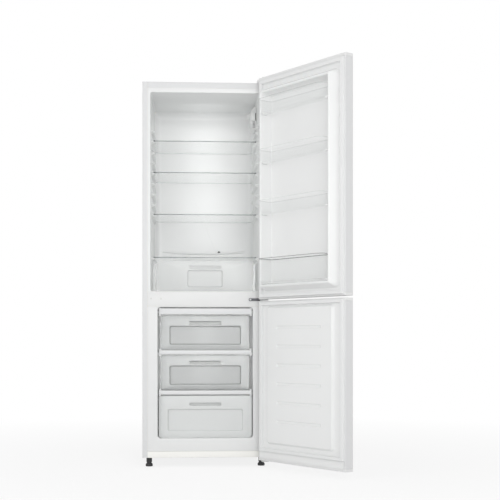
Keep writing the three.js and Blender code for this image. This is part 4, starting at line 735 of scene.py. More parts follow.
def top_panel(sheet, bend):
    """The turned-down front edge, the deck behind it and the pad that the top hinge stands on."""
    x, (y0, y1), (z0, z1) = span("top_panel")
    (pad_left, _), (_, pad_back), _ = span("top_hinge_cover")
    front = span("crossbar_cover")[0][1]
    join = bend + 1.1
    path = filleted([(join, CABINET_TOP), (y0, CABINET_TOP), (y0, z0)], bend, 8)
    fold = prism(sheet_section(path, sheet), [(0, -front), (0, front)], "yzx")
    deck = block(x, (join, y1), (CABINET_TOP - sheet, CABINET_TOP), 2.5, 0.2)
    slope = [(0, CABINET_TOP - 0.2), (0, CABINET_TOP), (0.8, z1 - 0.1), (1.2, z1)]
    pad = rect_rings((pad_left - COVER_REACH - 2, x[1]), (join, pad_back + 2), 2.5, slope, "xyz", 4)
    piece("top_panel_sheet", "cabinet", [fold, deck, shell(pad)], "white_coat", ["top_panel"])


def plinth():
    """The strip under the freezer: a lipped channel with a shallow step along it."""
    x, (y0, y1), (z0, z1) = span("kick_plate")
    step = 0.6
    path = [(y1, z1), (y0, z1), (y0, z0 + 9), (y0 + step, z0 + 8), (y0 + step, z0), (y1, z0)]
    path = filleted(path, [0, 2.5, 0.8, 0.8, 2.5, 0], 6)
    strip = prism(sheet_section(path, 2.0), [(0, x[0]), (0, x[1])], "yzx")
    piece("plinth_strip", "cabinet", [strip], "plinth_moulding", ["kick_plate"])


def crossbar():
    """The cover between the openings, with the plugs that fill the unused hinge holes."""
    x, y, z = span("crossbar_cover")
    plate = block(x, y, z, 1.5, 0.4, along="y")
    made = piece("crossbar_plate", "cabinet", [plate], "white_moulding", ["crossbar_cover"])
    places = [(x[0] + margin, y[0], PLUG_HEIGHT) for margin in PLUG_MARGINS]
    hole = [(0, -1), (3, -1), (3, 4), (0, 4)]
    carve(made, "cabinet", *[revolved(hole, place, "y", 24) for place in places])
    cap = [(0, 1.2), (2.6, 1.2), (2.8, 0.1), (3.6, 0.0), (4.3, -0.2)]
    cap += [(4.3, 0.6), (2.9, 0.8), (2.9, 1.4), (0, 1.4)]
    plugs = [revolved(cap, place, "y", 24) for place in places]
    piece("crossbar_plugs", "cabinet", plugs, "plug_moulding")


# ---- liners


def liner_grid(node, room, draft, floors=()):
    """A compartment's skin: flange, mouth, tapering walls, rounded rear edges and rear wall.

    Rows go from the flange's edge inwards; each is a rounded rectangle whose half width is
    half - draft y - inset. The insets of the mouth and the rear edge follow quarter circles, and
    floors gives the floor's height at places in depth."""
    (_, flange_x), _, flange_z = span(node)
    rear, corner, floor, roof = (room[key] for key in ("rear", "corner", "floor", "roof"))
    mouth = 3.0
    rows = [(flange_x, *flange_z, 1.5, 1.2), (flange_x, *flange_z, 1.5, 0.0)]
    for grow, y in arc((mouth, mouth), mouth, 270, 180, 5):
        rows.append((room["half"] + grow, floor - grow, roof + grow, corner + grow, y))
    for y, floor in floors:
        rows.append((room_half(room, y, draft), floor, roof, corner, y))
    for inset, y in arc((rear, room["depth"] - rear), rear, 180, 90, 8):
        half = room_half(room, y, draft) - inset
        rows.append((half, floor + inset, roof - inset, corner, y))
    rings = [
        rect_rings((-half, half), (low, high), radius, [(0, y)], "xzy", 8)[0]
        for half, low, high, radius, y in rows
    ]
    return np.stack(rings)


def wall_ledge(top, room, draft, reach, ends):
    """A moulded shelf ledge on the left wall.

    Its section runs from the wall out to the reach and slopes back below; its reach is scaled
    by a smooth step over the fade at either end."""
    y, fade = np.linspace(*ends, 40), 16.0
    share = np.maximum(smooth_step(np.minimum(y - ends[0], ends[1] - y) / fade), 0.03)[:, None]
    wall = room_half(room, y, draft)[:, None] + 0.6
    lip = filleted([(0, 0), (1, 0), (1, -0.45), (0, -1)], [0, 0.12, 0.2, 0], 4)
    x = (wall - reach) * share * lip[:, 0] - wall
    z = top + lip[:, 1] * LEDGE_HEIGHT * (0.4 + 0.6 * share)
    return shell(ordered(x, z, y[:, None], "xzy"))


def fridge_liner(sizes):
    """The fresh food compartment: skin with its drain, shelf ledges, drip gutter, switch pocket.

    The rear wall closes in circles round the drain, the last ones sunk a millimetre. Their
    points start at the same corner as the wall's own rings do."""
    grid = liner_grid("fridge_liner", FRIDGE_ROOM, sizes.draft)
    rear, radius = FRIDGE_ROOM["depth"], DRAIN["radius"]
    level = grid[-1].copy()
    level[:, 0] *= 0.99
    level[:, 2] += np.sign(level[:, 2].mean() - level[:, 2]) * 3
    turn = np.linspace(0, 2 * np.pi, grid.shape[1], endpoint=False) - 0.75 * np.pi
    rings = [
        ordered(DRAIN["x"] + r * np.cos(turn), DRAIN["z"] + r * np.sin(turn), rear + sunk, "xzy")
        for r, sunk in ((radius + 8, 0), (radius + 1, 0), (radius, 0.4), (radius, 1))
    ]
    skin = shell(np.concatenate([grid, [level], rings]), caps=(False, False))
    wall = sizes.liner / MM
    made = piece("fridge_liner_skin", "cabinet", [skin], "liner_sheet", ["fridge_liner"], wall)
    # painted shade: the flange gets a darker copy of the liner colour
    paint(made, "liner_flange", y=FLANGE)
    across, up = ((DRAIN[axis] - radius, DRAIN[axis] + radius) for axis in "xz")
    drain_end = block(across, (rear + 0.6, rear + 1.1), up, 5.8, 0.1, "y")
    left = [wall_ledge(top, FRIDGE_ROOM, sizes.draft, **FRIDGE_LEDGES) for top in LEDGE_TOPS]
    extras = left + [mirrored(one) for one in left] + [gutter_band(), switch_boss()]
    labels = ["liner_sheet"] * len(extras) + ["shadow_line"]
    piece("fridge_liner_ledges", "cabinet", [*extras, drain_end], labels)


def gutter_band():
    """The drip gutter: an oval bead that follows z = z0 + sag (s^2 - 1), s from -1 to 1."""
    s = np.linspace(-1, 1, 49)
    half_height = GUTTER["height"] / 2
    z = GUTTER["z"] - half_height + GUTTER["sag"] * (s * s - 1)
    path = ordered(s * GUTTER["half"], FRIDGE_ROOM["depth"], z, "xyz")
    section = circle(1, 16)[:, ::-1] * [half_height, GUTTER["reach"] * 0.4]
    return swept(section, path, (0, 1, 0))


def switch_boss():
    """The raised pocket round the light switch, open where the button stands."""
    (x0, x1), _, (z0, z1) = span("light_switch_button")
    slope = [(0, 51), (0, 25), (1, 22.3), (2.6, 22)]
    outer = rect_rings((x0 - 3, x1 + 6), (z0 - 5, z1 + 5), 3, slope, "xzy")
    inner = rect_rings((x0 - 0.3, x1 + 0.3), (z0 - 0.3, z1 + 0.3), 0.6, [(0, 22), (0, 44)], "xzy")
    return shell(np.concatenate([outer, inner]))


def freezer_liner(sizes):
    """The freezer: skin with the step over the machine compartment, corner posts and ledges.

    The step's foot is a cove and its edge a nose, both quarter circles in the floor's rows."""
    low, rear = FREEZER_ROOM["floor"], FREEZER_ROOM["rear"]
    deep, top = FREEZER_STEP["depth"], FREEZER_STEP["top"]
    cove = arc((deep - rear, low + rear), rear, -90, 0, 7)
    nose = arc((deep + 3.5, top - 3), 3, 180, 90, 5)
    grid = liner_grid("freezer_liner", FREEZER_ROOM, sizes.draft, [*cove, *nose])
    skin = shell(grid, caps=(False, True))
    wall = sizes.liner / MM
    made = piece("freezer_liner_skin", "cabinet", [skin], "liner_sheet", ["freezer_liner"], wall)
    # painted shade: the flange gets a darker copy of the liner colour
    paint(made, "liner_flange", y=FLANGE)
    side = room_half(FREEZER_ROOM, deep, sizes.draft)
    hollow = arc((-side + rear, deep - rear), rear, 90, 180, 8)
    corner = np.concatenate([hollow, [[-side - 0.6, deep + 0.6]]])
    left = [prism(corner, [(0, low + 3), (0, top - 1)], "xyz")]
    for k in COOLING_RUNS:
        seat = span(f"evaporator_strip_{k}")[2][1] - 10.6
        left.append(wall_ledge(seat, FREEZER_ROOM, sizes.draft, **FREEZER_LEDGES))
    rails = [shape for one in left for shape in (one, mirrored(one))]
    piece("freezer_liner_ledges", "cabinet", rails, "liner_sheet")


class FRIDGE_OT_liners(bpy.types.Operator):
    """Both moulded liners with ledges, drip gutter, drain and switch pocket"""

    bl_idname = "fridge.liners"
    bl_label = "Liners"

    def execute(self, context):
        fridge_liner(context.scene.fridge_sizes)
        freezer_liner(context.scene.fridge_sizes)
        return {"FINISHED"}


# ---- shelves


def glass_plate(node):
    """A toughened sheet with ground edges, rounded rear corners and a buffer on each front one."""
    x, y, (z0, z1) = span(node)
    edge = 0.7
    rows = [(edge + 0.3, z0), *rounded_ends(z0, z1, edge, 3), (edge + 0.3, z1)]
    pane = shell(rect_rings(x, y, (3, 3, 30, 30), rows, "xyz", 10))
    made = piece(node + "_pane", node, [pane], "glass_face", [node])
    rim = (z0 + 0.01, z1 - 0.01)
    paint(made, "glass_side", z=rim)
    paint(made, "glass_edge", y=(-math.inf, y[0] + 1), z=rim)
    cap = block((x[0] - 0.4, x[0] + 5), (y[0] - 0.4, y[0] + 9), (z0 - 0.2, z1 + 0.8), 1.2, 0.5)
    piece(node + "_buffers", node, [cap, mirrored(cap)], "buffer_rubber")


class FRIDGE_OT_shelves(bpy.types.Operator):
    """Glass shelves and the crisper's cover"""

    bl_idname = "fridge.shelves"
    bl_label = "Glass shelves"

    def execute(self, context):
        for node in ("glass_shelf_1", "glass_shelf_2", "glass_shelf_3", "crisper_cover"):
            glass_plate(node)
        return {"FINISHED"}


# ---- drawers and bins

DISH = 9.0  # how deep the middle of a drawer's front is sunk
SLOT_TALL, SLOT_HALF = 13.0, 70.0  # the grip slot's height and half its width


def tub(x, y, z, lean, wall, near, far, foot=5.0, lip=2.0):
    """An open tub: floor, rounded foot, walls that lean out, a rolled lip and the inside.

    Rows are insets from the top's outline, so the wall's inset is lean (1 - height share), and
    the foot is a quarter circle. The corners' radii are near and far."""
    bottom, top = z
    outer = [(lean + 60, bottom), *arc((lean + foot, bottom + foot), foot, 270, 180, 3)]
    rim = [(0.4, top - 3 * lip), (-lip * 0.6, top - 2.4 * lip), (-lip, top - lip)]
    rim += [(-lip * 0.6, top), (wall * 0.6, top)]
    heel = arc((lean + wall + foot, bottom + wall + foot), foot, 180, 270, 3)
    inner = [(wall, top - 0.6), *heel, (lean + 60, bottom + wall)]
    radii = (near, near, far, far)
    outer, rim, inner = (
        rect_rings(x, y, radii, rows, "xyz", 8, 2.0) for rows in (outer, rim, inner)
    )
    walls = shell(np.concatenate([outer, rim[:1]]), caps=(True, False))
    lips = shell(np.concatenate([rim, inner[:1]]), caps=(False, False))
    inside = shell(inner, caps=(False, True))
    return walls, lips, inside


def face_plate(x, z, corner, y, wall, dish_x, dish_z):
    """A drawer's front with a dished middle, drawn from its rear edge over the front."""
    rows = [(0, y + wall), (0, y + 1.2), (0.35, y + 0.35), (1.2, y)]
    outer = rect_rings(x, z, (corner, corner, 6, 6), rows, "xzy", 8)
    step = [(-4, 0), (-3, 0), (-1, 0.3), (0, 1.0), (2.6, DISH - 1.4), (3.6, DISH - 0.4)]
    step += [(6, DISH), (7, DISH)]
    sunk = [(inset, y + depth) for inset, depth in step]
    inner = rect_rings(dish_x, dish_z, 8, sunk, "xzy", 8, 1.0)
    return shell(np.concatenate([outer, inner]), caps=(False, True))


class DrawerForm(NamedTuple):
    """How a drawer is drawn: places and margins in millimetres, then finishes."""

    front: float  # the front's place in depth
    beside: float  # margins of the dish
    below: float
    above: float
    slot_drop: float  # from the front's top down to the grip slot, and to the tub's rim
    rim_drop: float
    lean: float  # how far the tub's walls lean out
    corner: float  # radius of the front's lower corners
    # finishes of the front, the dish's sides and hood, the dish's floor and the grip pocket; on the
    # clear drawers the last three are painted shade
    face: str
    dish_side: str
    dish_floor: str
    pocket: str


# the clear drawers paint shade in the dish, on the grip hood and in the grip pocket
CLEAR_DRAWER = DrawerForm(
    44, 37, 24, 46, 28, 12, 6, 6, "drawer_front", "drawer_edge", "drawer_dish", "grip_pocket"
)
DRAWERS = {
    "crisper_drawer": DrawerForm(
        106, 136, 22, 42, 23, 4, 8, 6, "crisper_front", "crisper_front", "", "crisper_front"
    ),
    "freezer_drawer_1": CLEAR_DRAWER,
    "freezer_drawer_2": CLEAR_DRAWER,
    "freezer_drawer_3": DrawerForm(
        26, 39, 30, 60, 32, 20, 11, 14, "frosted_front", "frosted_front", "", "frosted_front"
    ),
}


def drawer(node, wall):
    """A pull-out drawer: dished front with a grip slot, the tub behind it, hood and scoop."""
    form = DRAWERS[node]
    front = form.front
    x, (_, y1), z = span(node)
    dish_x = (x[0] + form.beside, x[1] - form.beside)
    dish_z = (z[0] + form.below, z[1] - form.above)
    top = z[1] - form.slot_drop
    slot_x, slot_z = (-SLOT_HALF, SLOT_HALF), (top - SLOT_TALL, top)
    slot = block(slot_x, (front - 5, front + 22), slot_z, 5, 0.2, "y")
    plate = face_plate(x, z, form.corner, front, wall, dish_x, dish_z)
    made = piece(node + "_front", node, [plate], form.face, [node], wall)
    carve(made, node, slot)
    floor = front + DISH - 0.8
    around = (-dish_x[1] - 1, dish_x[1] + 1)
    # the dish's sides and floor take the form's finishes: on a clear drawer, painted shade
    paint(made, form.dish_side, around, (front + 1.1, floor), (-math.inf, dish_z[1] + 1))
    if form.dish_floor:
        within = (1 - dish_x[1], dish_x[1] - 1)
        paint(made, form.dish_floor, within, (floor, math.inf), (-math.inf, dish_z[1]))
    sides, depth = (x[0] + wall, x[1] - wall), (front + wall + 0.8, y1)
    box = merged(*tub(sides, depth, (z[0], z[1] - form.rim_drop), form.lean, wall, 4, 26))
    made = piece(node + "_tub", node, [box], "clear_tub")
    hollow = block(dish_x, (front, front + DISH + wall + 0.4), dish_z, 8, 0.2, "y")
    carve(made, node, slot, hollow)
    sill = top - SLOT_TALL + 0.3
    reach = [(front + 1.5, sill), (front + 12, sill), (front + 12, top + 1.5)]
    section = sheet_section(filleted(reach, [0, 7, 0], 8), 1.2)
    scoop = prism(section, [(0, -SLOT_HALF - 1), (0, SLOT_HALF + 1)], "yzx")
    # the hood and scoop take the dish side's and pocket's finishes: on a clear drawer, painted
    # shade
    piece(node + "_grip", node, [grip_hood(front, top), scoop], [form.dish_side, form.pocket])


def grip_hood(y, top):
    """The raised lip over a drawer's grip slot: a bead whose section shrinks to its ends.

    The section's share is (1 - s^8)^0.5, with s from -1 to 1 along the bead."""
    s = np.linspace(-1, 1, 41)
    share = np.sqrt(np.clip(1 - s**8, 0.02, 1))
    path = ordered(s * (SLOT_HALF + 4), y, top + 1.6, "xyz")
    ring = ordered(0, *(circle(1, 14) * [2.4, 1.7]).T, "xyz")
    return shell(path[:, None] + ring * share[:, None, None])


class FRIDGE_OT_drawers(bpy.types.Operator):
    """Crisper and freezer drawers"""

    bl_idname = "fridge.drawers"
    bl_label = "Drawers"

    def execute(self, context):
        for node in DRAWERS:
            drawer(node, context.scene.fridge_sizes.drawer_wall / MM)
        return {"FINISHED"}


class FRIDGE_OT_bins(bpy.types.Operator):
    """Door bins with rounded front corners and a rolled lip"""

    bl_idname = "fridge.bins"
    bl_label = "Door bins"

    def execute(self, context):
        wall = context.scene.fridge_sizes.bin_wall / MM
        for node in DOOR_BINS:
            x, y, z = span(node)
            sides = (x[0] + 1.2, x[1] - 1.2)
            depth = (y[0] + 1.2, y[1] - 1.2)
            shells = tub(sides, depth, z, 0.4, wall, 4, 30, foot=4, lip=1.1)
            # painted shade: a bin's lip takes a darker, denser copy of its clear plastic
            rim = "clear_rim" if node == "bottle_bin" else "bin_rim"
            piece(node + "_tub", node, shells, ["clear_moulding", rim, "clear_moulding"], [node])
        return {"FINISHED"}


# ---- evaporator levels


def cooling_level(k, runs):
    """Bent tube with cross bars, and the white strip with its end clips."""
    strip, coil = f"evaporator_strip_{k}", f"evaporator_coil_{k}"
    x, (y0, y1), (low, high) = span(strip)
    half = span(coil)[0][1] - 27
    level, first = high - 6.3, y0 + 6.3
    line = serpentine(half, first, COIL_PITCH, runs)
    pipe = tube(ordered(*line.T, level, "xyz"), 3.9, (0, 0, 1), 12)
    depth = (y1 + 0.4, first + COIL_PITCH * (runs - 1))
    bars = [
        block((place - 4, place + 4), depth, (level, high + 0.35), 1.5, 0.4, "y")
        for place in (-0.8 * half, 0, 0.8 * half)
    ]
    piece(coil + "_tube", "cabinet", [pipe, *bars], "bare_aluminium", [coil])
    ends, foot = x[1] - 7, low + 2
    path = filleted([(y1, high), (y0, high), (y0, foot), (y1, foot)], [0, 4, 4, 0], 8)
    band = prism(sheet_section(path, 2.0), [(0, -ends), (0, ends)], "yzx")
    tall = (low - 5, min(high + 5, FREEZER_ROOM["roof"] - 2))
    clip = block((ends - 1, x[1]), (y0 - 0.5, y1), tall, 2, 1, "x")
    piece(strip + "_band", "cabinet", [band, clip, mirrored(clip)], "strip_moulding", [strip])


class FRIDGE_OT_cooling(bpy.types.Operator):
    """Evaporator tubes and their front strips"""

    bl_idname = "fridge.cooling"
    bl_label = "Evaporator levels"

    def execute(self, context):
        for k, runs in COOLING_RUNS.items():
            cooling_level(k, runs)
        return {"FINISHED"}


# ---- lamp, thermostat and switch


class FRIDGE_OT_controls(bpy.types.Operator):
    """Lamp housing, lens, thermostat knob and light switch button"""

    bl_idname = "fridge.controls"
    bl_label = "Lamp and thermostat"

    def execute(self, context):
        lamp_housing()
        lamp_lens()
        knob()
        node = "light_switch_button"
        tip = block(*span(node), 1.2, 1.5, "y")
        piece("light_switch_tip", node, [tip], "white_moulding", [node])
        return {"FINISHED"}


def lamp_housing():
    """The case on the side wall, with vents, slots and a latch cut into it."""
    (x0, x1), (y0, y1), (z0, z1) = span("lamp_housing")
    reach, tall = x1 - x0 + 1.6, z1 - z0
    shares = [(1, 1), (0.68, 0.97), (0.22, 0.84), (0, 0.74)]
    shares += [(0, 0.32), (0.3, 0.16), (0.68, 0.01), (1, 0)]
    corners = [(x0 + reach * across, z0 + tall * up) for across, up in shares]
    section = filleted(corners, [2.2, 5, 6, 9, 9, 6, 5, 2.2], 6, closed=True)
    body = prism(section, rounded_ends(y0, y1, 2.0, 5), "xzy")
    made = piece("lamp_housing_shell", "cabinet", [body], "white_moulding", ["lamp_housing"])
    middle = (z0 + 0.38 * tall, z0 + 0.7 * tall)
    vents = [
        block((x0 - 1, x0 + 2), (y1 - 8 * k - 8, y1 - 8 * k - 5), middle, 1, 0.4) for k in range(3)
    ]
    slots = [
        block((219, 231), (y0 - 1, y0 + 2), (z0 + 13 + 6 * k, z0 + 15.6 + 6 * k), 1, 0.3, "y")
        for k in range(5)
    ]
    latch = block((x1 - 3.6, x1 - 0.4), (y0 - 1, y0 + 3), span("lamp_lens")[2], 1, 0.3, "y")
    carve(made, "cabinet", *vents, *slots, latch)
    paint(made, "shadow_line", (x0 + 8, x1), (y0 + 1.8, y0 + 3.2))


def lamp_lens():
    """The lamp's cover with its ribs."""
    x, y, z = span("lamp_lens")
    lens = block(x, (y[0], y[1] + 2), z, 4, 1.5, "y")
    across, face = (x[0] + 2, x[1] - 2), (y[0] - 0.5, y[0] + 1)
    ribs = [
        block(across, face, (z[0] + 3 + 3.6 * k, z[0] + 4.6 + 3.6 * k), 0.6, 0.3, "y")
        for k in range(9)
    ]
    piece("lamp_lens_cover", "cabinet", [lens, *ribs], "lens", ["lamp_lens"])


def knob():
    """The dial: a skirted disc with a grip across it and a mark on its rim."""
    (x0, x1), (y0, y1), (z0, z1) = span("thermostat_knob")
    y, z, radius = (y0 + y1) / 2, (z0 + z1) / 2, (y1 - y0) / 2
    skirt = [(0, x1), (radius, x1), (radius, x1 - 2.5), (radius * 0.93, x1 - 5)]
    skirt += [(radius * 0.3, x1 - 5.6), (0, x1 - 5.6)]
    disc = revolved(skirt, (0, y, z), "x", 48)
    grip = block((x0, x1 - 3), (y - 3, y + 3), (z0 + 2, z1 - 2), 2.6, 1.2, "x")
    mark = block((x0 - 0.1, x0 + 1), (y - 0.6, y + 0.6), (z1 - 8, z1 - 3), 0.5, 0.1, "x")
    labels = ["white_moulding", "white_moulding", "shadow_line"]
    piece("thermostat_dial", "thermostat_knob", [disc, grip, mark], labels, ["thermostat_knob"])


# ---- doors


def door_section():
    """A door's sheet from above: lip, free edge with a shallow bead, face, hinge edge and lip."""
    bead = DOOR_FACE + 11
    free = [
        (-DOOR_HALF + 10, DOOR_PLANE),
        (-DOOR_HALF, DOOR_PLANE),
        (-DOOR_HALF, bead + 2),
        (-DOOR_HALF + 0.5, bead),
        (-DOOR_HALF, bead - 2),
        (-DOOR_HALF, DOOR_FACE),
    ]
    radii = [0, 2.5, 1, 0.5, 1, 6]
    return filleted(free + [(-x, y) for x, y in free[::-1]], radii + radii[::-1], 8)


def cap_outline():
    """A door's outline from above, closed along its inner face."""
    free = [(-DOOR_HALF, DOOR_PLANE), (-DOOR_HALF, DOOR_FACE)]
    return filleted(free + [(-x, y) for x, y in free[::-1]], [2.5, 6, 6, 2.5], 8, closed=True)


def door_shell(side, sheet):
    """The folded steel and both end caps."""
    node = f"{side}_door_skin"
    z0, z1 = span(node)[2]
    steel = prism(sheet_section(door_section(), sheet), [(0, z0), (0, z1)], "xyz")
    piece(f"{side}_door_sheet", f"{side}_door", [steel], "white_coat", [node])
    for end in ("top", "bottom"):
        cap = f"{side}_door_{end}_cap"
        z0, z1 = span(cap)[2]
        levels = [(0, z0), (0, z1 - 1.5), (0.5, z1 - 0.4), (1.5, z1)]
        if end == "bottom":
            levels = [(1.5, z0), (0.5, z0 + 0.4), (0, z0 + 1.5), (0, z1)]
        body = prism(cap_outline(), levels, "xyz")
        piece(f"{cap}_moulding", f"{side}_door", [body], "white_moulding", [cap])


def gasket_ring(side):
    """The magnetic seal: a barbed foot, a folding bellows and the magnet's pocket, mitred."""
    node = f"{side}_door_gasket"
    x, (y0, y1), z = span(node)
    width = 17.0
    half = [(0, 0), (0.3, 0.12), (1.5, 0.2), (3.2, 0.3)]
    half += [(2.2, 0.42), (1.6, 0.55), (2.0, 0.9), (2.8, 1)]
    whole = half + [(width - inset, share) for inset, share in half[::-1]]
    profile = [(inset, y0 + share * (y1 - y0)) for inset, share in whole]
    rings = rect_rings(x, z, 1.5, profile, "xzy", 3, 0.8)
    piece(f"{side}_door_seal", f"{side}_door", [shell(rings, loop=True)], "seal", [node])


def lining_border(node):
    """The flat border of a door's lining."""
    x, _, z = span(node)
    return rect_rings(x, z, 2, [(0, DOOR_PLANE - 1), (0, DOOR_PLANE)], "xzy", 8)


def upper_lining(wall):
    """The upper door's moulded sheet: flat border, raised frame, recess, and bin lugs."""
    node = "upper_door_lining"
    ridge, recess = span(node)[1][1], UPPER_FRAME["recess"]
    rise = [(-6, DOOR_PLANE), (0, DOOR_PLANE), (18, ridge), (27, ridge), (34, recess), (60, recess)]
    rows = filleted(rise, [0, 5, 7, 5, 3, 0], 8)
    raised = rect_rings(UPPER_FRAME["x"], UPPER_FRAME["z"], 22, rows, "xzy", 8, 5.0)
    skin = shell(np.concatenate([lining_border(node), raised]), caps=(False, True), flip=True)
    piece("upper_door_lining_skin", "upper_door", [skin], "liner_sheet", [node], wall)
    lugs = []
    for bin_node in DOOR_BINS:
        bottom = span(bin_node)[2][0]
        for place, inward in LUG_WALLS:
            sides = sorted((place - inward * 5, place + inward * 8.5))
            lugs.append(block(sides, (-1, 29), (bottom - 7.3, bottom - 0.3), 2.5, 2))
    piece("upper_door_lugs", "upper_door", lugs, "liner_sheet")


def lower_lining(wall):
    """The lower door's moulded sheet: border, raised pad and its pressed grooves."""
    node = "lower_door_lining"
    x, z, brim = (LOWER_PAD[key] for key in ("x", "z", "brim"))
    face = DOOR_PLANE + LOWER_PAD["rise"]
    rise = [(-8, DOOR_PLANE), (0, DOOR_PLANE), (9, face), (brim - 0.3, face)]
    rows = np.concatenate([filleted(rise, [0, 4, 5, 0], 8), [[brim, face]]])
    raised = rect_rings(x, z, 18, rows, "xzy", 8, 4.0)
    skin = shell(np.concatenate([lining_border(node), raised]), caps=(False, False), flip=True)
    middle = grooved_face((x[0] + brim, x[1] - brim), (z[0] + brim, z[1] - brim), face)
    piece("lower_door_lining_skin", "lower_door", [skin, middle], "liner_sheet", [node], wall, 20)


def grooved_face(x, z, y):
    """The pad's middle, y - depth a(x) b(z): a and b are rounded steps across each groove."""
    grooves = 207 + 80 * np.arange(6)
    half, tall, deep = 139.0, 7.0, 3.0
    local = np.array([-8.5, -7, -6, -5, -4, -2, 0, 2, 4, 5, 6, 7, 8.5])
    brim = np.array([0, 0.3])
    zs = np.concatenate([z[0] + brim, *[groove + local for groove in grooves], z[1] - brim[::-1]])
    ends = np.array([-8, -5, -3.5, -2.2, -1, 0, 2])
    xs = np.sort(np.concatenate([x[0] + brim, -half - ends, half + ends, x[1] - brim]))
    across = smooth_step((half + 2 - np.abs(xs)) / 5)
    up = smooth_step((tall - np.abs(zs[:, None] - grooves).min(1)) / 3.2)
    grid = ordered(xs, zs[:, None], y - deep * up[:, None] * across, "xzy")
    return shell(grid, wrap=False, flip=True)


class FRIDGE_OT_doors(bpy.types.Operator):
    """Door sheets, caps, moulded linings and seals"""

    bl_idname = "fridge.doors"
    bl_label = "Doors"

    def execute(self, context):
        sizes = context.scene.fridge_sizes
        for side in ("upper", "lower"):
            door_shell(side, sizes.sheet / MM)
            gasket_ring(side)
        upper_lining(sizes.liner / MM)
        lower_lining(sizes.liner / MM)
        return {"FINISHED"}


# ---- hinges, feet and rollers


class FRIDGE_OT_fittings(bpy.types.Operator):
    """Hinge cover and screws, levelling feet and rear rollers"""

    bl_idname = "fridge.fittings"
    bl_label = "Hinges and feet"

    def execute(self, context):
        x, y, z = span("top_hinge_cover")
        cap = block((x[0] - COVER_REACH, x[1]), y, z, 5, 2.5, "z", 6)
        piece("top_hinge_cap", "cabinet", [cap], "white_moulding", ["top_hinge_cover"])
        piece("middle_hinge_screw", "cabinet", [screw(MIDDLE_SCREW, "-y", 4.6)], "zinc")
        bottom = [screw(place, "-y", 3.6) for place in BOTTOM_SCREWS]
        piece("bottom_hinge_screws", "cabinet", bottom, "zinc")
        for side in ("left", "right"):
            foot(side)
            roller(side)
        return {"FINISHED"}


def foot(side):
    """A moulded foot: domed pad, knurled collar and threaded stem.

    The collar's radius is r + a max(0, cos 18 t)^0.5 round the axis."""
    node = f"front_foot_{side}"
    (x0, x1), (y0, y1), (_, top) = span(node)
    x, y, radius = (x0 + x1) / 2, (y0 + y1) / 2, (x1 - x0) / 2
    pad = [(0, 0), (radius - 1.5, 0), (radius - 0.4, 0.5), (radius, 1.8), (radius, 9.5)]
    neck = [(radius * 0.72, 14.5), (radius * 0.66, 16), (radius * 0.66, 20), (0, 20)]
    base = revolved([*pad, (radius - 1, 11), *neck], (x, y, 0), "z", 40)
    t = np.linspace(0, 2 * np.pi, 108, endpoint=False)
    ridge = 0.8 * np.sqrt(np.maximum(0, np.cos(18 * t)))
    heights = np.array([18, 18.6, 37.2, 38.4])[:, None]
    chamfer = np.array([-1.0, 0, 0, -1.0])[:, None]
    r = radius * 0.74 + chamfer + ridge
    collar = shell(ordered(x + r * np.cos(t), y + r * np.sin(t), heights, "xyz"))
    neck_top, turns = 38.5, np.arange(20)
    rise = neck_top + turns * (top - neck_top) / 19
    thread = np.stack([np.where(turns % 2, 4.9, 4.3), rise], axis=-1)
    stem = revolved(np.vstack([[[0, neck_top]], thread, [[0, top]]]), (x, y, 0), "z", 20)
    labels = ["black_moulding", "black_moulding", "zinc"]
    piece(node + "_moulding", node, [base, collar, stem], labels, [node])


def roller(side):
    """A transport roller: chamfered tread, recessed web and a steel axle."""
    node = f"rear_roller_{side}"
    (x0, x1), (y0, y1), (z0, z1) = span(node)
    center = (0, (y0 + y1) / 2, (z0 + z1) / 2)
    radius, middle, half = (z1 - z0) / 2, (x0 + x1) / 2, 11.0
    rows = [(0, -6), (6, -6), (6.5, -9), (13, -9), (14, -half)]
    rows += [(radius - 1.5, -half), (radius, -half + 2)]
    profile = [(r, middle + h) for r, h in rows] + [(r, middle - h) for r, h in rows[::-1]]
    wheel = revolved(profile, center, "x", 48)
    pin = [(0, x0), (3.4, x0), (4, x0 + 0.6), (4, x1 - 0.6), (3.4, x1), (0, x1)]
    axle = revolved(pin, center, "x", 24)
    piece(node + "_wheel", node, [wheel, axle], ["black_moulding", "zinc"], [node])


# ---- cooling machine


class FRIDGE_OT_machine(bpy.types.Operator):
    """Compressor, relay box, evaporating tray, pipes and condenser"""

    bl_idname = "fridge.machine"
    bl_label = "Cooling machine"

    def execute(self, context):
        compressor()
        relay()
        tray = merged(*tub(*span("evaporating_tray"), 6, 2, 16, 16, foot=4, lip=1.5))
        piece("evaporating_tray_tub", "cabinet", [tray], "black_moulding", ["evaporating_tray"])
        suction()
        condenser(context.scene.fridge_sizes.wires)
        return {"FINISHED"}


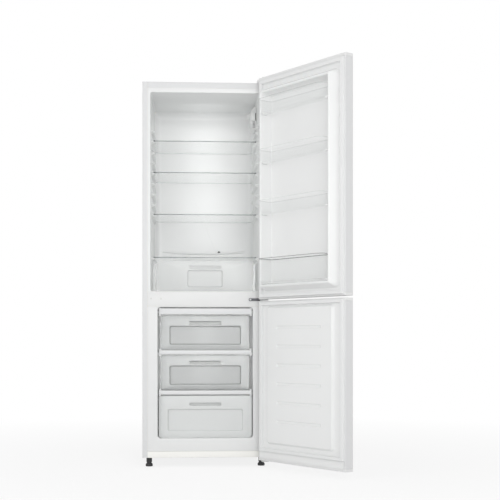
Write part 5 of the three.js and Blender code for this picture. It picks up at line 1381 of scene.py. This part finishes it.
def compressor():
    """Two pressed shells with a welded seam, a foot plate, soft mounts and the pipe's stub."""
    y0, y1 = span("compressor")[1]
    x, y, low, tall = -40.0, (y0 + y1) / 2, 57.0, 150.0
    long, wide = 100, 70  # the can's half length and half width
    lower = [(0, 0), (0.4, 0.0), (0.66, 0.03), (0.84, 0.09), (0.93, 0.18), (0.965, 0.3)]
    seam = [(0.97, 0.495), (1, 0.5), (1, 0.54), (0.96, 0.545)]
    upper = [(0.955, 0.66), (0.92, 0.78), (0.83, 0.88), (0.66, 0.95), (0.4, 0.99), (0, 1)]
    path = [(r * wide, low + h * tall) for r, h in lower + seam + upper]
    profile = filleted(path, [0] + [6] * 5 + [0.5] * 4 + [6] * 5 + [0], 3)
    can = revolved(profile, (x, y, 0), "z", 72, (long / wide, 1.0))
    plate = block((x - 88, x + 88), (y - 62, y + 62), (low - 4, low - 1.5), 16, 0.6)
    skirt = block((x - 70, x + 70), (y - 45, y + 45), (low - 2, low + 14), 20, 3)
    corners = [(x + a * 74, y + b * 48, 0) for a in (-1, 1) for b in (-1, 1)]
    bung = [(0, 41.3), (9, 41.3), (11, 43), (11, 47), (8, 48.5)]
    bung += [(8, 50), (10, 51.5), (10, 56), (8.5, 57), (0, 57)]
    mounts = copies(revolved(bung, (0, 0, 0), "z", 24), corners)
    bolts = copies(screw((0, 0, 57), "+z", 6, 4), corners)
    pipe = [(0, x + 60), (5, x + 60), (5, x + 108), (0, x + 108)]
    stub = revolved(pipe, (0, y, low + 58.5), "x", 20)
    shells = [can, plate, skirt, mounts, bolts, stub]
    labels = ["black_enamel"] * 3 + ["black_moulding", "zinc", "copper_pipe"]
    piece("compressor_can", "cabinet", shells, labels, ["compressor"])


def relay():
    """The starter's box with its lid and spring clip, and the ribbed inlet gland."""
    x, y, z = span("start_relay")
    box = block(x, y, z, 7, 3, "x", 6)
    lid = block((x[0] - 0.2, x[0] + 8), (y[0] + 3, y[1] - 3), (z[0] + 3, z[1] - 3), 6, 2, "x", 6)
    over = ordered(np.linspace(x[1] - 2, x[0] - 1.2, 12), (y[0] + y[1]) / 2, z[1] + 1.2, "xyz")
    spring = tube(over, 1.1, (0, 1, 0), 10)
    labels = ["black_moulding", "black_moulding", "zinc"]
    piece("start_relay_box", "cabinet", [box, lid, spring], labels, ["start_relay"])
    (x0, x1), (y0, y1), (z0, z1) = span("mains_inlet")
    rows = [(4, x1), (10, x1), (10, x1 - 4), (8.5, x1 - 5)]
    for k in range(5):
        start = x1 - 6 - 2.4 * k
        rows += [(7.2, start), (7.2, start - 1.2), (6.0, start - 1.4), (6.0, start - 2.2)]
    rows = np.array([*rows, (5.6, x0), (4, x0)])
    t = np.linspace(0, 2 * np.pi, 32, endpoint=False)
    grid = ordered(rows[:, :1] * np.cos(t), rows[:, :1] * np.sin(t), rows[:, 1:], "yzx")
    gland = shell(grid + [0, (y0 + y1) / 2, (z0 + z1) / 2], loop=True)
    piece("mains_inlet_gland", "cabinet", [gland], "black_moulding", ["mains_inlet"])


def suction():
    """The copper return line: out of the compressor, round one bend and up into the foam."""
    (x0, x1), (y0, y1), (z0, z1) = span("suction_line")
    y, low, rise = (y0 + y1) / 2, z0 + 4, x1 - 4
    line = filleted([(x0, low), (rise, low), (rise, z1)], 34, 14)
    pipe = tube(ordered(line[:, 0], y, line[:, 1], "xyz"), 3.8, (0, 1, 0), 16)
    ring = [(0, z1 - 9), (6, z1 - 9), (6.5, z1 - 8), (6.5, z1), (0, z1)]
    collar = revolved(ring, (rise, y, 0), "z", 24)
    labels = ["copper_pipe", "black_moulding"]
    piece("suction_pipe", "cabinet", [pipe, collar], labels, ["suction_line"])


def condenser(wires):
    """Tube bent to and fro, fine wires welded upright across both faces, and four straps."""
    seat, back = span("condenser")[1]
    low, high = CONDENSER["low"], CONDENSER["high"]
    plane, behind = back - 4.2, back - 7.2  # the bent tube's middle, and the straps behind it
    pitch = (high - low) / (CONDENSER["runs"] - 1)
    half = CONDENSER["half"] - pitch / 2
    line = serpentine(half, low, pitch, CONDENSER["runs"], 16)
    coil = tube(ordered(line[:, 0], plane, line[:, 1], "xyz"), 2.9, (0, 1, 0), 12)
    wire = shell(ordered(*circle(0.7, 6).T, np.array([[low - 8], [high + 8]]), "xyz"))
    places = np.linspace(-CONDENSER["wires"], CONDENSER["wires"], wires)
    grid = copies(wire, [(place, plane + side * 3.4, 0) for side in (-1, 1) for place in places])
    bends = [(seat, low - 36), (seat, low - 24), (behind, low - 12)]
    bends += [(behind, high + 12), (seat, high + 24), (seat, high + 36)]
    section = sheet_section(filleted(bends, [0, 4, 4, 4, 4, 0], 5), -1.5)
    straps = []
    for place in np.linspace(-1, 1, 4) * 0.92 * half:
        straps.append(prism(section, [(0, place - 4), (0, place + 4)], "yzx"))
        straps += [screw((place, seat + 1.5, z), "+y", 3.2) for z in (low - 30, high + 30)]
    feed = condenser_feed(plane, low)
    labels = ["black_enamel"] * (2 + len(straps)) + ["copper_pipe"] * len(feed)
    piece("condenser_coil", "cabinet", [coil, grid, *straps, *feed], labels, ["condenser"])


def condenser_feed(plane, low):
    """The discharge line from the compressor to the coil's first end, and its drier."""
    y = plane - 8.0
    line = filleted([(-185.0, low), (DRIER_X, low), (DRIER_X, 120)], [0, 16, 0], 8)
    path = ordered(line[:, 0], y, line[:, 1], "xyz")
    path[:4, 1] = np.linspace(plane, y, 4)
    rows = [(0, 190), (2.5, 190), (3.5, 196), (8, 204), (8, 262), (3.5, 270), (2.5, 276), (0, 276)]
    return [tube(path, 2.4, (0, 1, 0), 12), revolved(rows, (DRIER_X, y, 0), "z", 24)]


# ---- stage


class FRIDGE_OT_stage(bpy.types.Operator):
    """Pale floor, soft lamps and the camera"""

    bl_idname = "fridge.stage"
    bl_label = "Stage"

    def execute(self, context):
        ground()
        world()
        lamps()
        camera(context)
        context.scene.cycles.transparent_max_bounces = 32
        return {"FINISHED"}


def ground():
    """A flat floor under the object, wide enough to meet the horizon."""
    far = np.array([-30000.0, 30000.0])
    points, faces = shell(ordered(far, far[:, None], -0.5, "xyz"), wrap=False)
    mesh = bpy.data.meshes.new("floor")
    mesh.from_pydata(points * MM, [], faces)
    mesh.materials.append(paper())
    add_object("floor", mesh)


def paper():
    """White ground: matt to the light; to the camera and in reflections it keeps the object's
    shadow near it and fades to plain white with distance."""
    made = NodeTree("ground")
    made.shader.inputs["Base Color"].default_value = (0.9, 0.9, 0.9, 1)
    made.shader.inputs["Roughness"].default_value = 0.9
    path = made.add("ShaderNodeLightPath").outputs
    seen = made.math("MAXIMUM", path["Is Camera Ray"], path["Is Glossy Ray"])
    seen = made.math("MAXIMUM", seen, path["Is Transmission Ray"])
    away = made.add("ShaderNodeVectorMath", {0: made.place}, operation="LENGTH").outputs["Value"]
    fade = {"Value": away, "From Min": 0.8, "From Max": 3.0, "To Min": 0.8, "To Max": 1.0}
    share = made.math("MULTIPLY", made.add("ShaderNodeMapRange", fade).outputs["Result"], seen)
    glow = made.add("ShaderNodeEmission").outputs[0]
    both = made.add("ShaderNodeMixShader", {0: share, 1: made.shader.outputs[0], 2: glow})
    output = made.tree.nodes["Material Output"]
    made.tree.links.new(both.outputs[0], output.inputs["Surface"])
    return made.material


def world():
    """A soft surround at a level that keeps colours about as written, plain white where it is
    seen straight on or in a reflection."""
    surround = bpy.context.scene.world or bpy.data.worlds.new("surround")
    bpy.context.scene.world = surround
    surround.use_nodes = True
    nodes, links = surround.node_tree.nodes, surround.node_tree.links
    path = nodes.new("ShaderNodeLightPath")
    level = nodes.new("ShaderNodeMapRange")
    level.inputs["To Min"].default_value = 0.62
    level.inputs["To Max"].default_value = 1.0
    seen = nodes.new("ShaderNodeMath")
    seen.operation = "MAXIMUM"
    links.new(path.outputs["Is Camera Ray"], seen.inputs[0])
    links.new(path.outputs["Is Glossy Ray"], seen.inputs[1])
    links.new(seen.outputs[0], level.inputs["Value"])
    links.new(level.outputs["Result"], nodes["Background"].inputs["Strength"])
    nodes["Background"].inputs["Color"].default_value = (1, 1, 1, 1)


# Lamps inside the compartments: name, places across, half width, depth, low and high end, power.
ROOM_LAMPS = (
    ("fridge_room", (0,), 60, 286, 990, 1570, 0.155),
    ("fridge_top", (0,), 60, 200, 1450, 1580, 0.06),
    ("crisper_room", (0,), 236, 20, 775, 905, 0.04),
    ("crisper_gap", (-226, 226), 9, 330, 775, 905, 0.042),
    ("freezer_room", (0,), 190, 33, 320, 680, 0.08),
    ("freezer_middle", (0,), 45, 300, 340, 650, 0.14),
    ("freezer_gap", (-199, 199), 5, 300, 320, 680, 0.09),
)


def lamps():
    """A broad lamp beside the camera, softer ones right, left and overhead, and small ones in
    the compartments that neither the camera nor a reflection shows."""
    middle = (0, 0, 0.9)
    lamp("front", (0.55, -5.0, 1.7), middle, (2.0, 2.0), 54)
    lamp("right", (2.8, -3.8, 1.5), middle, (1.6, 1.6), 12)
    lamp("side", (-3.0, -2.6, 1.6), middle, (1.8, 1.8), 24)
    lamp("over", (0.2, -1.2, 4.0), middle, (2.6, 2.6), 4)
    for name, places, half, deep, low, high, power in ROOM_LAMPS:
        for across in places:
            place = np.array([across, deep, (low + high) / 2]) * MM + ORIGIN
            size = (2 * half * MM, (high - low) * MM)
            inside = lamp(name, place, place + np.array([0, 1, 0]), size, power)
            inside.visible_camera = inside.visible_glossy = False


def lamp(name, place, target, size, power):
    """A rectangular lamp turned to a point."""
    data = bpy.data.lights.new(name, "AREA")
    data.shape = "RECTANGLE"
    data.size, data.size_y = size
    data.energy = power
    made = add_object(name, data)
    made.location = place
    made.rotation_euler = (Vector(target) - Vector(place)).to_track_quat("-Z", "Z").to_euler()
    return made


def camera(context):
    """The photograph's camera: level, turned a little to the right, with the frame shifted up."""
    data = bpy.data.cameras.new("camera")
    data.sensor_width = 36
    data.lens = 76.74
    data.shift_y = 0.1778
    data.clip_end = 60
    made = add_object("camera", data)
    made.location = np.array([-85.2, -4664.3, 558.0]) * MM + ORIGIN
    made.rotation_euler = (math.pi / 2, 0, -0.06)
    context.scene.camera = made
    context.scene.view_settings.view_transform = "Standard"


# ---- add-on

OPERATORS = (
    FRIDGE_OT_finishes,
    FRIDGE_OT_stage,
    FRIDGE_OT_shell,
    FRIDGE_OT_liners,
    FRIDGE_OT_shelves,
    FRIDGE_OT_drawers,
    FRIDGE_OT_bins,
    FRIDGE_OT_cooling,
    FRIDGE_OT_controls,
    FRIDGE_OT_doors,
    FRIDGE_OT_fittings,
    FRIDGE_OT_machine,
)


class FRIDGE_PT_panel(bpy.types.Panel):
    """Lists the refrigerator's pieces"""

    bl_idname = "FRIDGE_PT_panel"
    bl_label = "Refrigerator"
    bl_space_type = "VIEW_3D"
    bl_region_type = "UI"
    bl_category = "Refrigerator"

    def draw(self, context):
        for operator in OPERATORS:
            self.layout.operator(operator.bl_idname)


CLASSES = (FridgeColors, FridgeSizes, *OPERATORS, FRIDGE_PT_panel)


def register():
    """Registers the classes and gives every scene both groups of properties."""
    for one in CLASSES:
        bpy.utils.register_class(one)
    bpy.types.Scene.fridge_colors = PointerProperty(type=FridgeColors)
    bpy.types.Scene.fridge_sizes = PointerProperty(type=FridgeSizes)


def unregister():
    """Undoes what register() does."""
    del bpy.types.Scene.fridge_sizes
    del bpy.types.Scene.fridge_colors
    for one in reversed(CLASSES):
        bpy.utils.unregister_class(one)


def main():
    """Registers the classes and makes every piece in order."""
    register()
    for operator in OPERATORS:
        group, name = operator.bl_idname.split(".")
        getattr(getattr(bpy.ops, group), name)()


if __name__ == "__main__":
    main()
